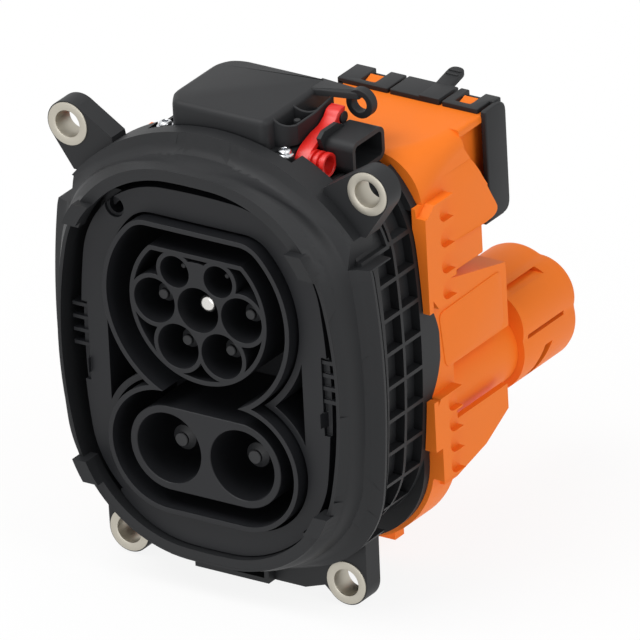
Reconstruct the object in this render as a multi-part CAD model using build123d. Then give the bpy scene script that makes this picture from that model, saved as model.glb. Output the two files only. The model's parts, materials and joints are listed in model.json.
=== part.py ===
"""Charge port inlet: AC contacts over DC contacts in a collar with four lugs, a lock actuator on top.

The frame has its origin at the middle of the AC plug face, +X to the right seen from the plug side,
+Y into the vehicle and +Z up. All sizes are in millimetres. Most outlines are drawn in X and Z and
run along Y.
"""
from build123d import *
import math
import os

os.makedirs("parts", exist_ok=True)

# Fits between pieces
slide_fit = 0.1
loose_fit = 0.3

# Contact pattern of the plug face
phase_side = 16.0
low_row_side = 8.0
low_row_drop = 13.9
pilot_side = 8.0
pilot_rise = 11.3
dc_side = 13.5
dc_drop = 49.7
ac_chamber_r = 7.45
pilot_chamber_r = 5.25
dc_chamber_r = 11.75

# Contacts
ac_pin_r = 3.0
pilot_pin_r = 1.5
dc_pin_r = 4.0
ac_tip_y = 4.9
dc_tip_y = 6.8
guard_share = 0.58
guard_length = 3.2
collar_thick = 2.6
terminal_length = 8.0

# Contact carriers
ac_carrier_r = 25.2
ac_carrier_top = 18.5
dc_carrier_r = 14.2
carrier_depth = 34.0
chamber_depth = 28.0
chamber_wall = 1.5
floor_thick = 3.0
lightening_depth = 14.0

# Plug shroud
shroud_r = 32.8
shroud_top = 25.6
shroud_corner_r = 9.0
shroud_foot_r = 19.9
shroud_wall = 1.6
shroud_front_y = -1.4
base_thick = 3.0

# Bowed outlines: half width, half height, middle height, side radius, end radius, corner radius.
# A pair of them gives the lower half and the upper half.
collar_inner = (50.6, 64.8, -19.8, 150.0, 196.0, 42.0)
collar_rim = (51.8, 66.0, -19.8, 151.2, 197.2, 43.2)
collar_bulge = ((53.7, 67.0, -19.8, 200.0, 188.0, 43.8), (53.7, 66.6, -19.8, 190.0, 110.0, 40.0))
collar_crease = ((54.9, 67.6, -19.8, 268.0, 183.0, 44.4), (54.9, 68.0, -19.8, 245.0, 71.0, 31.0))
collar_hollow = ((56.6, 69.0, -19.0, 275.0, 150.0, 42.0), (56.6, 69.4, -19.0, 255.0, 70.0, 27.0))
collar_flare = ((60.4, 71.6, -18.0, 300.0, 100.0, 36.0), (60.4, 72.4, -18.0, 270.0, 67.6, 19.0))
plate_outline = (45.5, 58.0, -20.0, 217.0, 215.0, 32.9)
body_outline = (53.0, 66.0, -19.5, 318.0, 300.0, 34.9)

# Depths along Y
rim_y = -1.5
bulge_y = 2.2
crease_y = 7.7
hollow_y = 9.4
flare_y = 10.6
flare_back_y = 12.2
flange_y = 14.6
flange_back_y = 22.0
plate_y = 2.5
plate_thick = 2.6
mid_back_y = 47.7
rear_front_y = 48.0

# Lugs
upper_lug_side = 55.0
upper_lug_z = 45.2
lower_lug_side = 40.1
lower_lug_z = -89.6
lug_r = 7.5
head_thick = 1.2
head_proud = 0.4
sleeve_r = 5.9
arm_root_z = 20.9
low_arm_root_z = -72.5
bushing_r = 7.15
bushing_bore_r = 4.35

# Lip, snap slot and drain of the front housing
lip_width = 2.6
lip_depth = 4.0
lip_top_end = 19.4
lip_low_end = -62.0
web_thick = 3.0
tab_front_y = -4.5
tab_proud = 0.8
upper_tab_low = 21.3
upper_tab_top = 28.6
lower_tab_low = -66.0
lower_tab_top = -59.0

# Side brackets that reach back over the middle housing
bracket_low = 21.4
bracket_top = 30.2
bracket_side = 51.0
bracket_plate = 1.6
bracket_reach = 3.2
bracket_rib = 1.1
bracket_back_y = 27.4
web_inset = 8.0
flange_low_z = -94.6
flange_low_side = 24.7
drain_side = 13.6
drain_wall = 1.6
drain_low_z = -94.5
drain_front_y = 10.9
drain_back_y = 17.0
drain_z = -86.0
drain_top_z = -80.0

# Face insert
insert_wall = 2.2
insert_gap = 1.0
post_hole_x = -30.9
post_hole_z = 27.4
post_hole_r = 3.5
post_bore_r = 2.6
waist_side = 35.7
waist_top = -9.0
waist_low = -41.0
rib_count = 4
rib_top_z = -8.5
rib_pitch = 4.4
rib_thick = 1.3
rib_reach = 6.2
plate_step = 2.4
plate_step_top = -7.5
plate_step_low = -34.0
ramp_depth = 5.0

# Ribbed middle housing
rib_depth = 3.2
mid_wall = 2.5
mid_front_flange = 2.0
mid_rear_flange = 5.0
mid_rib_pitch = 11.3
mid_rib_thick = 1.3
mid_split_y = 33.2
mid_lip_thick = 3.0
mid_lip_grow = 2.4
mid_lip_x = 41.5
mid_lip_low = 26.0
mid_lip_top = 40.0
low_lip_top = -55.0
tongue_r = 27.0
tongue_z = -22.0
tongue_reach = 5.0
tongue_thick = 2.9
tongue_side = 40.0
inner_wall_thick = 3.5
gasket_thick = 1.2
rear_gasket_width = 1.6
rear_gasket_depth = 1.4

# Rear housing
rear_half_w = 52.0
rear_top = 42.0
rear_low = -92.0
rear_low_corner_r = 32.0
rear_top_corner_r = 8.0
rear_left_corner_r = 32.0
tub_back_y = 61.0
rear_wall = 2.6
hood_left = -3.0
hood_low_z = 8.0
hood_bend_z = 19.5
hood_slope_y = 72.4
hood_slope_z = 36.0
neck_right = 47.0
neck_left = 0.0
neck_low_z = 6.0
neck_back_y = 94.5
block_back_y = 92.0
block_top = -3.0
block_low = -32.0
duct_x = 35.0
duct_z = -45.5
duct_r = 14.0
duct_wall = 2.4
duct_back_y = 104.0
fin_thick = 2.2
fin_top = -51.0
fin_low = -70.0
fin_back_y = 90.0
clip_out = 3.5
clip_front_y = 44.4
clip_back_y = 60.0
clip_top_low = -8.0
clip_top_high = 27.0
clip_low_low = -66.0
clip_low_high = -38.0
clip_count = 4
clip_depth = 2.2
clip_pocket = 6.4
clip_pocket_y = 55.4
foot_x = 25.0
foot_width = 11.0
foot_drop = 3.0
foot_front_y = 56.0

# Cable caps
cap_front_y = 101.0
cap_back_y = 131.5
cap_wall = 2.0
cap_low_r = 16.4
cap_top_x = 31.3
cap_top_z = -40.9
cap_top_r = 16.5
cap_side_x = 39.5
cap_side_z = -38.2
cap_side_r = 11.9
cable_r = 9.0

# Rear cover
cover_left = -2.3
cover_right = 52.3
cover_top = 44.6
cover_low = 3.0
cover_front_y = 84.5
cover_back_y = 98.0
strap_width = 21.0
slit_width = 0.8
nose_width = 7.4
nose_front_y = 89.0
nose_back_y = 94.0
nose_rise = 2.4
window_gap = 0.7
window_rim = 1.4
tab_x = 29.5
tab_width = 7.8
tab_thick = 1.8
tab_reach = 6.5
tab_rise = 4.6

# Lock actuator
actuator_left = -19.0
actuator_right = 20.0
actuator_front_y = 17.0
actuator_back_y = 51.5
actuator_split_z = 50.0
actuator_top_z = 60.0
actuator_low_z = 47.6
actuator_wall = 1.6
actuator_corner_r = 3.0
eyelet_x = 30.4
eyelet_z = 56.3
eyelet_r = 4.8
eyelet_hole_r = 2.7
eyelet_front_y = 48.2
eyelet_thick = 3.3
screw_side = 21.9
screw_y = 19.4
screw_r = 1.6
screw_head_r = 2.8
screw_ear_r = 3.0
screw_seat_width = 4.6
shelf_z = 47.2
lock_y = 27.0
lock_pin_r = 3.0
lock_neck_r = 2.2
lock_rest_z = 28.0
lock_top_z = 58.0
guide_r = 4.4
wheel_tip_r = 8.2
wheel_root_r = 7.0
wheel_teeth = 20
wheel_low_z = 51.0
wheel_thick = 4.0
worm_x = -11.6
worm_r = 2.9
worm_length = 11.0
motor_length = 13.6
motor_r = 4.6
shaft_r = 0.8

# Connector of the actuator
mouth_x = 39.7
socket_back_x = 28.5
socket_front_y = 30.0
socket_rear_y = 47.6
socket_low_z = 41.0
socket_top_z = 52.0
socket_wall = 1.5
socket_corner_r = 3.0
bridge_low_z = 46.9
bridge_top_z = 49.4

# Release lever
hub_y = 26.5
hub_z = 45.3
hub_r = 4.1
hub_pin_r = 1.5
strap_left = 23.0
strap_right = 27.8
spool_right = 34.6
spool_r = 3.2
band_thick = 2.2
catch_y = 43.6
catch_z = 53.3
catch_r = 1.9
catch_ring = 1.3

# Reach of cutting shapes, past every face of the part
far = 120.0

# Values that follow from the ones above
base_y = carrier_depth
inner_wall_back_y = carrier_depth
base_back_y = base_y + base_thick
collar_y = carrier_depth - floor_thick


def half_points(shape, rise):
    """Arc points of an outline's upper half for a rise of 1, of its lower half for -1, right to left."""
    half_w, half_h, mid_z, side_r, end_r, corner_r = shape
    side_c = half_w - side_r
    end_c = half_h - end_r
    gap = math.hypot(side_c, end_c)
    reach_s = side_r - corner_r
    reach_e = end_r - corner_r
    along = (reach_s ** 2 - reach_e ** 2 + gap ** 2) / (2 * gap)
    off = math.sqrt(reach_s ** 2 - along ** 2)
    ux, uz = -side_c / gap, end_c / gap
    cx = side_c + ux * along - uz * off
    cz = uz * along + ux * off
    s_x = side_c + (cx - side_c) * side_r / reach_s
    s_z = cz * side_r / reach_s
    e_x = cx * end_r / reach_e
    e_z = end_c + (cz - end_c) * end_r / reach_e
    turn = math.atan2((s_z + e_z) / 2 - cz, (s_x + e_x) / 2 - cx)
    k_x = cx + corner_r * math.cos(turn)
    k_z = cz + corner_r * math.sin(turn)

    lean = math.atan2(s_z, s_x - side_c) / 2
    m_x = side_c + side_r * math.cos(lean)
    m_z = side_r * math.sin(lean)
    right = [(half_w, 0), (m_x, m_z), (s_x, s_z), (k_x, k_z), (e_x, e_z)]
    left = [(-x, z) for x, z in reversed(right)]
    return [(x, mid_z + rise * z) for x, z in right + [(0, half_h)] + left]


def outline(shape):
    """Closed face with four bowed sides that run tangent into four round corners."""
    low, top = shape if isinstance(shape[0], tuple) else (shape, shape)
    upper = half_points(top, 1)
    lower = half_points(low, -1)[::-1]
    arcs = []
    for points in (upper, lower):
        for first in range(0, len(points) - 1, 2):
            arcs.append(ThreePointArc(*points[first:first + 3]))
    return make_face(arcs)


def grown(shape, distance):
    """The same bowed outline, larger all round by a distance."""
    half_w, half_h, mid_z, side_r, end_r, corner_r = shape
    return (half_w + distance, half_h + distance, mid_z, side_r + distance, end_r + distance,
            corner_r + distance)


def prism(face, front, back):
    """Run an outline in X and Z along Y from front to back."""
    plane = Plane(origin=(0, back, 0), x_dir=(1, 0, 0), z_dir=(0, -1, 0))
    return extrude(plane * face, amount=back - front)


def at_depth(face, y):
    """Place an outline in X and Z at a depth."""
    return Plane(origin=(0, y, 0), x_dir=(1, 0, 0), z_dir=(0, -1, 0)) * face


def block(x0, x1, y0, y1, z0, z1):
    """Box between two corners."""
    middle = Pos((x0 + x1) / 2, (y0 + y1) / 2, (z0 + z1) / 2)
    return middle * Box(x1 - x0, y1 - y0, z1 - z0)


def rod_y(x, z, radius, front, back):
    """Round bar along Y."""
    return Pos(x, (front + back) / 2, z) * Rot(90, 0, 0) * Cylinder(radius, back - front)


def rod_z(x, y, radius, low, top):
    """Round bar along Z."""
    return Pos(x, y, (low + top) / 2) * Cylinder(radius, top - low)


def rod_x(y, z, radius, left, right):
    """Round bar along X."""
    return Pos((left + right) / 2, y, z) * Rot(0, 90, 0) * Cylinder(radius, right - left)


def side_prism(points, left, right):
    """Run an outline in Y and Z along X; the points are (y, z)."""
    plane = Plane(origin=(left, 0, 0), x_dir=(0, 1, 0), z_dir=(1, 0, 0))
    return extrude(plane * make_face(Polyline(*points, close=True)), amount=right - left)


def keep_side(x0, x1, z0, z1):
    """Rectangle in X and Z between two corners."""
    return Pos((x0 + x1) / 2, (z0 + z1) / 2) * Rectangle(x1 - x0, z1 - z0)


def plug_outline(grow):
    """Figure-eight outline of the plug opening, a distance outside the shroud's inner face."""
    radius = shroud_r + grow
    top = shroud_top + grow
    flat = Pos(0, top - radius) * Rectangle(3 * radius, 2 * radius)
    head = Circle(radius) & flat
    corners = head.vertices().sort_by(Axis.Y)[-2:]
    head = fillet(corners, shroud_corner_r + grow)
    foot = Pos(0, -dc_drop) * SlotCenterToCenter(2 * dc_side, 2 * (shroud_foot_r + grow))
    return head + foot


def dc_outline(grow):
    """Stadium outline of the DC carrier, a distance outside it."""
    return Pos(0, -dc_drop) * SlotCenterToCenter(2 * dc_side, 2 * (dc_carrier_r + grow))


def ac_outline(grow):
    """Round outline of the AC carrier with its flat top, a distance outside it."""
    radius = ac_carrier_r + grow
    flat = Pos(0, ac_carrier_top + grow - radius) * Rectangle(3 * radius, 2 * radius)
    head = Circle(radius) & flat
    return fillet(head.vertices().sort_by(Axis.Y)[-2:], 1.5)


# Each contact: node name, sideways place, height
ac_contacts = [
    ("ac_pin_l1", -phase_side, 0.0),
    ("earth_pin", 0.0, 0.0),
    ("ac_pin_neutral", phase_side, 0.0),
    ("ac_pin_l2", -low_row_side, -low_row_drop),
    ("ac_pin_l3", low_row_side, -low_row_drop),
]
pilot_contacts = [
    ("proximity_pin", -pilot_side, pilot_rise),
    ("pilot_pin", pilot_side, pilot_rise),
]
dc_contacts = [
    ("dc_pin_minus", -dc_side, -dc_drop),
    ("dc_pin_plus", dc_side, -dc_drop),
]


def contact_pin(x, z, radius, tip_y, back_y):
    """Pin with a rounded nose, a stop collar that the carrier traps, and a terminal stub behind."""
    guard_r = radius * guard_share
    nose = radius * (1 - guard_share) * 0.8
    collar_r = radius + 1.6
    front = tip_y + guard_length - nose
    shank = rod_y(x, z, radius, front, back_y)
    shank = chamfer(shank.edges().filter_by(GeomType.CIRCLE).sort_by(Axis.Y)[0], nose)
    bore = rod_y(x, z, guard_r + slide_fit / 2, front, tip_y + guard_length + 2.0)
    collar = rod_y(x, z, collar_r, collar_y, collar_y + collar_thick)
    return shank - bore + collar


def contact_guard(x, z, radius, tip_y):
    """Plastic tip in the nose of a pin, so that a finger can't touch the metal."""
    guard_r = radius * guard_share
    guard = rod_y(x, z, guard_r, tip_y, tip_y + guard_length + 2.0)
    return chamfer(guard.edges().filter_by(GeomType.CIRCLE).sort_by(Axis.Y)[0], guard_r * 0.25)


def make_pins():
    """All contact pins and the groups of touch-guard tips."""
    pins = {}
    ac_caps = []
    dc_caps = []
    for name, x, z in ac_contacts:
        if name == "earth_pin":
            front = ac_tip_y
            pin = rod_y(x, z, ac_pin_r, front, base_back_y + terminal_length)
            nose_edge = pin.edges().filter_by(GeomType.CIRCLE).sort_by(Axis.Y)[0]
            pin = fillet(nose_edge, ac_pin_r * 0.45)
            pins[name] = pin + rod_y(x, z, ac_pin_r + 1.6, collar_y, collar_y + collar_thick)
        else:
            pins[name] = contact_pin(x, z, ac_pin_r, ac_tip_y, base_back_y + terminal_length)
            ac_caps.append(contact_guard(x, z, ac_pin_r, ac_tip_y))
    for name, x, z in pilot_contacts:
        pin = contact_pin(x, z, pilot_pin_r, ac_tip_y, base_back_y + terminal_length)
        pins[name] = pin
        ac_caps.append(contact_guard(x, z, pilot_pin_r, ac_tip_y))
    for name, x, z in dc_contacts:
        pins[name] = contact_pin(x, z, dc_pin_r, dc_tip_y, base_back_y + terminal_length)
        dc_caps.append(contact_guard(x, z, dc_pin_r, dc_tip_y))
    pins["ac_pin_caps"] = Compound(children=ac_caps)
    pins["dc_pin_caps"] = Compound(children=dc_caps)
    return pins


def drill_contacts(body, contacts, chamber_r, pin_r):
    """Cut chambers from the front and stepped seats for the pins from the back."""
    for name, x, z in contacts:
        body -= rod_y(x, z, chamber_r, -1, chamber_depth)
        body -= rod_y(x, z, pin_r + slide_fit, chamber_depth - 1, carrier_depth + 1)
        body -= rod_y(x, z, pin_r + 1.6 + slide_fit, collar_y, carrier_depth + 1)
    return body


def make_ac_carrier():
    """Round carrier of the AC contacts with its light pockets between the chambers and the rim."""
    rings = Sketch()
    for name, x, z in ac_contacts:
        rings += Pos(x, z) * Circle(ac_chamber_r + chamber_wall)
    for name, x, z in pilot_contacts:
        rings += Pos(x, z) * Circle(pilot_chamber_r + chamber_wall)
    rings += Circle(phase_side)
    pockets = ac_outline(-chamber_wall) - rings
    deep = [face for face in pockets.faces() if face.area > 3]
    body = prism(ac_outline(0), 0, carrier_depth)
    for face in deep:
        body -= prism(face, -1, lightening_depth)
    body = drill_contacts(body, ac_contacts, ac_chamber_r, ac_pin_r)
    return drill_contacts(body, pilot_contacts, pilot_chamber_r, pilot_pin_r)


def make_dc_carrier():
    """Stadium carrier of the DC contacts."""
    body = prism(dc_outline(0), 0, carrier_depth)
    return drill_contacts(body, dc_contacts, dc_chamber_r, dc_pin_r)


def make_socket():
    """Shroud round the plug opening, with the base that carries both contact carriers."""
    tube = prism(plug_outline(shroud_wall) - plug_outline(0), shroud_front_y, base_y)
    base = prism(outline(grown(body_outline, -rib_depth - mid_wall - loose_fit)), base_y, base_back_y)
    for name, x, z in ac_contacts:
        base -= rod_y(x, z, ac_pin_r + slide_fit, base_y - 1, base_back_y + 1)
    for name, x, z in pilot_contacts:
        base -= rod_y(x, z, pilot_pin_r + slide_fit, base_y - 1, base_back_y + 1)
    for name, x, z in dc_contacts:
        base -= rod_y(x, z, dc_pin_r + slide_fit, base_y - 1, base_back_y + 1)
    lock_hole = rod_z(0, lock_y, lock_pin_r + loose_fit, shroud_top - 2, shroud_top + 4)
    return tube + base - lock_hole


def band(front_shape, back_shape, front, back):
    """Solid between two bowed outlines."""
    return loft([at_depth(outline(front_shape), front), at_depth(outline(back_shape), back)])


def make_front_housing():
    """Collar, flange, four lugs and drain spout, moulded in one."""
    body = band(collar_rim, collar_bulge, rim_y, bulge_y)
    body += band(collar_bulge, collar_crease, bulge_y, crease_y)
    body += band(collar_crease, collar_hollow, crease_y, hollow_y)
    body += band(collar_hollow, collar_flare, hollow_y, flare_y)
    body += prism(outline(collar_flare), flare_y, flare_back_y)
    body += prism(outline(body_outline), flare_back_y, flange_back_y)

    corners = keep_side(-far, far, arm_root_z, far) + keep_side(-far, far, flange_low_z, low_arm_root_z)
    corners = outline(collar_flare) & corners
    body += prism(corners, flare_back_y, flange_y)
    flange = corners
    for side in (-1, 1):
        upper = (side * upper_lug_side, upper_lug_z)
        lower = (side * lower_lug_side, lower_lug_z)
        flange += Pos(*upper) * Circle(lug_r)
        flange += Pos(*lower) * Circle(lug_r)
        flange += make_face(Polyline(
            (side * 39.0, 43.9), (upper[0] - side * lug_r / 2, upper[1] + lug_r * 0.87),
            (upper[0] + side * lug_r * 0.82, upper[1] - lug_r * 0.57), (side * 53.2, 29.5),
            (side * 53.9, arm_root_z), (side * 34, arm_root_z), close=True))
        flange += make_face(Polyline(
            (side * flange_low_side, flange_low_z), (side * 32, -92.2),
            (lower[0] - side * lug_r * 0.55, lower[1] - lug_r * 0.83), (lower[0], lower[1] - lug_r),
            (lower[0] + side * lug_r, lower[1]), (side * 47.8, low_arm_root_z), (side * 20, -70),
            close=True))
    flange += keep_side(-flange_low_side, flange_low_side, flange_low_z, drain_top_z)
    body += prism(flange, flange_y, flange_back_y)

    body -= prism(outline(collar_inner), rim_y - 1, flange_y)
    body -= prism(outline(grown(collar_inner, -web_inset)), flange_y - 1, flange_back_y + 1)
    hollow = outline(grown(body_outline, -rib_depth - mid_wall))
    body -= prism(hollow, flange_y + web_thick, flange_back_y + 1)

    lip = outline(collar_inner) - outline(grown(collar_inner, -lip_width))
    ends = keep_side(-far, far, lip_top_end, far) + keep_side(-far, far, -far, lip_low_end)
    body += prism(lip & ends, rim_y, rim_y + lip_depth)
    rim = outline(grown(collar_rim, tab_proud)) - outline(grown(collar_inner, -lip_width))
    for low, high in ((upper_tab_low, upper_tab_top), (lower_tab_low, lower_tab_top)):
        body += prism(rim & keep_side(-far, far, low, high), tab_front_y, rim_y + lip_depth)
    body = add_brackets(body)

    for x, z in lug_places():
        body -= rod_y(x, z, sleeve_r, flange_y - 1, flange_back_y + 1)
        body -= rod_y(x, z, bushing_r, flange_y - 1, flange_y - head_proud + head_thick)
    spout = block(-drain_side, drain_side, drain_front_y, flange_y + 1, drain_low_z, drain_z)
    spout -= block(-drain_side + drain_wall, drain_side - drain_wall, drain_front_y - 1, flange_y + 2,
                   drain_low_z + drain_wall, drain_z + 1)
    body += spout - prism(outline(collar_crease), drain_front_y - 1, flange_y + 2)
    body -= block(-drain_side + drain_wall, drain_side - drain_wall, drain_front_y, drain_back_y,
                  drain_low_z + drain_wall, drain_z + 6)

    body -= block(-screw_side - screw_seat_width, screw_side + screw_seat_width,
                  screw_y - screw_ear_r - loose_fit, flange_back_y + 1, shelf_z, actuator_top_z)
    for side in (-1, 1):
        body += block(side * screw_side - screw_seat_width, side * screw_side + screw_seat_width,
                      flange_y, flange_back_y, shelf_z - 6, shelf_z)
        body -= rod_z(side * screw_side, screw_y, screw_r, shelf_z - 5, shelf_z + 1)
    return body


def add_brackets(body):
    """Notch the flare on both sides and add a latch bracket in each notch, over the middle housing."""
    wall = outline(grown(body_outline, -bracket_plate))
    sides = keep_side(-far, far, bracket_low, bracket_top) - wall
    inside = outline(grown(body_outline, loose_fit))
    plate = outline(grown(body_outline, loose_fit + bracket_plate)) & sides
    deep = outline(grown(body_outline, loose_fit + bracket_reach)) - wall
    ribs = deep & (keep_side(-far, far, bracket_low, bracket_low + bracket_rib)
                   + keep_side(-far, far, bracket_top - bracket_rib, bracket_top))
    for side in (-1, 1):
        notch_x = sorted((side * bracket_side, side * far))
        body -= block(notch_x[0], notch_x[1], rim_y, flange_back_y + 1, bracket_low, bracket_top)
    body += prism(plate + ribs, flare_back_y, flange_back_y)
    reach = prism((plate + ribs) - inside, flange_back_y - 1, bracket_back_y)
    return body + reach + prism((deep & sides) - inside, bracket_back_y - bracket_rib, bracket_back_y)


def lug_places():
    """Centres of the four lug holes, seen in X and Z."""
    return [(side * x, z) for side in (-1, 1)
            for x, z in ((upper_lug_side, upper_lug_z), (lower_lug_side, lower_lug_z))]


def make_bushings():
    """Four metal sleeves with a flat head, pressed in the lugs."""
    sleeves = []
    for x, z in lug_places():
        head_front_y = flange_y - head_proud
        sleeve = rod_y(x, z, bushing_r, head_front_y, head_front_y + head_thick)
        sleeve += rod_y(x, z, sleeve_r, head_front_y, flange_back_y)
        sleeve -= rod_y(x, z, bushing_bore_r, head_front_y - 1, flange_back_y + 1)
        sleeves.append(sleeve)
    return Compound(children=sleeves)


def make_insert():
    """Face plate round the shroud with its skirt, waist pockets, snap ribs and bottom scoop."""
    plate = outline(plate_outline) - plug_outline(shroud_wall + insert_gap)
    body = prism(plate, plate_y, plate_y + plate_thick)
    skirt = outline(plate_outline) - outline(grown(plate_outline, -insert_wall))
    body += prism(skirt, plate_y, flange_y)
    for side in (-1, 1):
        step_x = sorted((side * (plate_outline[0] - plate_step), side * far))
        body -= block(step_x[0], step_x[1], plate_y - 1, plate_y + plate_thick - 1.2, plate_step_low,
                      plate_step_top)

    around = plug_outline(shroud_wall + insert_gap + insert_wall)
    wall = around - plug_outline(shroud_wall + insert_gap)
    body += prism(wall, plate_y, flange_y)
    for side in (-1, 1):
        window = keep_side(min(side * 10, side * waist_side), max(side * 10, side * waist_side),
                           waist_low, waist_top) - around
        frame = keep_side(min(side * 10, side * (waist_side + insert_wall)),
                          max(side * 10, side * (waist_side + insert_wall)),
                          waist_low - insert_wall, waist_top + insert_wall) - around - window
        body += prism(frame, plate_y, flange_y)
        body -= prism(window, plate_y - 1, plate_y + plate_thick + 1)
        start = plate_outline[0] - plate_step - 0.4
        for index in range(rib_count):
            z = rib_top_z - index * rib_pitch
            rib = block(min(side * start, side * (start + rib_reach)),
                        max(side * start, side * (start + rib_reach)),
                        plate_y + 0.5, flange_y, z - rib_thick, z)
            body += rib
        ramp_z = rib_top_z - rib_count * rib_pitch - ramp_depth
        ramp = Plane(origin=(0, 0, ramp_z), x_dir=(1, 0, 0), z_dir=(0, 0, 1)) * make_face(Polyline(
            (side * start, plate_y - 1.5), (side * start, flange_y), (side * (start + rib_reach), flange_y),
            close=True))
        body += extrude(ramp, amount=ramp_depth)

    body -= rod_y(post_hole_x, post_hole_z, post_hole_r, plate_y - 1, plate_y + 1.4)
    body -= rod_y(post_hole_x, post_hole_z, post_bore_r, plate_y - 1, plate_y + plate_thick + 1)
    body += (rod_y(post_hole_x, post_hole_z, post_hole_r + 1.5, plate_y + plate_thick, flange_y)
             - rod_y(post_hole_x, post_hole_z, post_bore_r, plate_y, flange_y + 1))

    low_lip = collar_inner[2] - collar_inner[1] + lip_width
    plate_low = plate_outline[2] - plate_outline[1]
    scoop = side_prism([(plate_y, plate_low + 9), (rim_y + 2.4, low_lip), (rim_y + 6.0, low_lip),
                        (plate_y + plate_thick, plate_low + 9)], -34, 34)
    reach = outline(grown(collar_inner, -lip_width - loose_fit)) - plug_outline(shroud_wall + insert_gap)
    body += scoop & prism(reach, rim_y, flange_y)
    return body


def make_mid_housing():
    """Ribbed housing behind the flange, with the inner wall that holds the socket."""
    rear_y = mid_back_y - mid_rear_flange
    core = outline(grown(body_outline, -rib_depth))
    hollow = outline(grown(body_outline, -rib_depth - mid_wall))
    body = prism(core, flange_back_y, mid_back_y)
    full = outline(body_outline)
    body += prism(full, flange_back_y, flange_back_y + mid_front_flange)
    body += prism(full, rear_y, mid_back_y)
    body += prism(full, mid_split_y - mid_rib_thick / 2, mid_split_y + mid_rib_thick / 2)
    ribs = Sketch()
    for index in range(-5, 5):
        z = body_outline[2] + (index + 0.5) * mid_rib_pitch
        ribs += keep_side(-far, far, z - mid_rib_thick / 2, z + mid_rib_thick / 2)
    for index in range(-3, 4):
        x = index * mid_rib_pitch
        ribs += keep_side(x - mid_rib_thick / 2, x + mid_rib_thick / 2, -far, far)
    body += prism((full - core) & ribs, flange_back_y, rear_y)
    lips = rear_outline(-1.5) & keep_side(-far, far, rear_low, low_lip_top)
    lips += outline(grown(body_outline, mid_lip_grow)) & keep_side(mid_lip_x, far, mid_lip_low, mid_lip_top)
    body += prism(lips, mid_back_y - mid_lip_thick, mid_back_y)
    edge = prism(full - outline(grown(body_outline, -tongue_thick)), rear_y, mid_back_y + tongue_reach)
    body += edge & tongue_bar(0)

    wall_front = inner_wall_back_y - inner_wall_thick
    body -= prism(hollow, flange_back_y - 1, wall_front)
    body -= prism(hollow, inner_wall_back_y, mid_back_y + 1)
    body -= prism(plug_outline(shroud_wall + loose_fit), wall_front - 1, inner_wall_back_y + 1)
    body -= prism(plug_outline(shroud_wall + 4.0), inner_wall_back_y - gasket_thick, inner_wall_back_y + 1)
    groove = (outline(grown(body_outline, -rib_depth - 0.2))
              - outline(grown(body_outline, -rib_depth - 0.2 - rear_gasket_width)))
    body -= prism(groove, mid_back_y - rear_gasket_depth, mid_back_y + 1)
    body -= rod_z(0, lock_y, guide_r, body_outline[1] + body_outline[2] - 12, actuator_low_z)
    body -= block(actuator_right - 1.4, socket_back_x + 8, flange_back_y - 1, hub_y + hub_r + 0.6,
                  hub_z - hub_r - 0.4, actuator_low_z)
    body -= block(socket_back_x - 0.3, mouth_x + 5, socket_front_y - 0.3, mid_back_y + 1,
                  socket_low_z - 0.3, actuator_low_z)
    return body


def make_socket_gasket():
    """Seal round the shroud between the inner wall and the socket's base."""
    ring = plug_outline(shroud_wall + 3.8) - plug_outline(shroud_wall + slide_fit)
    return prism(ring, inner_wall_back_y - gasket_thick, inner_wall_back_y)


def make_rear_gasket():
    """Seal in the groove between the middle and the rear housing."""
    ring = (outline(grown(body_outline, -rib_depth - 0.2))
            - outline(grown(body_outline, -rib_depth - 0.2 - rear_gasket_width)))
    return prism(ring, mid_back_y - rear_gasket_depth, rear_front_y)


def tongue_bar(grow):
    """Wide bar across the middle housing that gives its two tongues their round back edge."""
    bar = rod_x(rear_front_y + tongue_reach - tongue_r, tongue_z, tongue_r + grow, -far, far)
    sides = keep_side(-far, far, -far, far) - keep_side(-tongue_side, tongue_side, -far, far)
    half = rear_outline(10) & sides
    return bar & prism(half, mid_back_y - 1, tub_back_y)


def rear_outline(grow):
    """Outline of the rear housing's tub, a distance outside it."""
    shape = keep_side(-rear_half_w - grow, rear_half_w + grow, rear_low - grow, rear_top + grow)
    corners = shape.vertices().sort_by(Axis.Y)
    shape = fillet(corners[:2], rear_low_corner_r + grow)
    top_corners = shape.vertices().sort_by(Axis.Y)[-2:].sort_by(Axis.X)
    shape = fillet(top_corners[1], rear_top_corner_r + grow)
    return fillet(shape.vertices().group_by(Axis.Y)[-1].sort_by(Axis.X)[0], rear_left_corner_r + grow)


def cap_outline(grow, side):
    """Three-lobed outline of a cable cap, a distance outside it."""
    shape = Pos(side * duct_x, duct_z) * Circle(cap_low_r + grow)
    shape += Pos(side * cap_top_x, cap_top_z) * Circle(cap_top_r + grow)
    shape += Pos(side * cap_side_x, cap_side_z) * Circle(cap_side_r + grow)
    return shape


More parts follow.
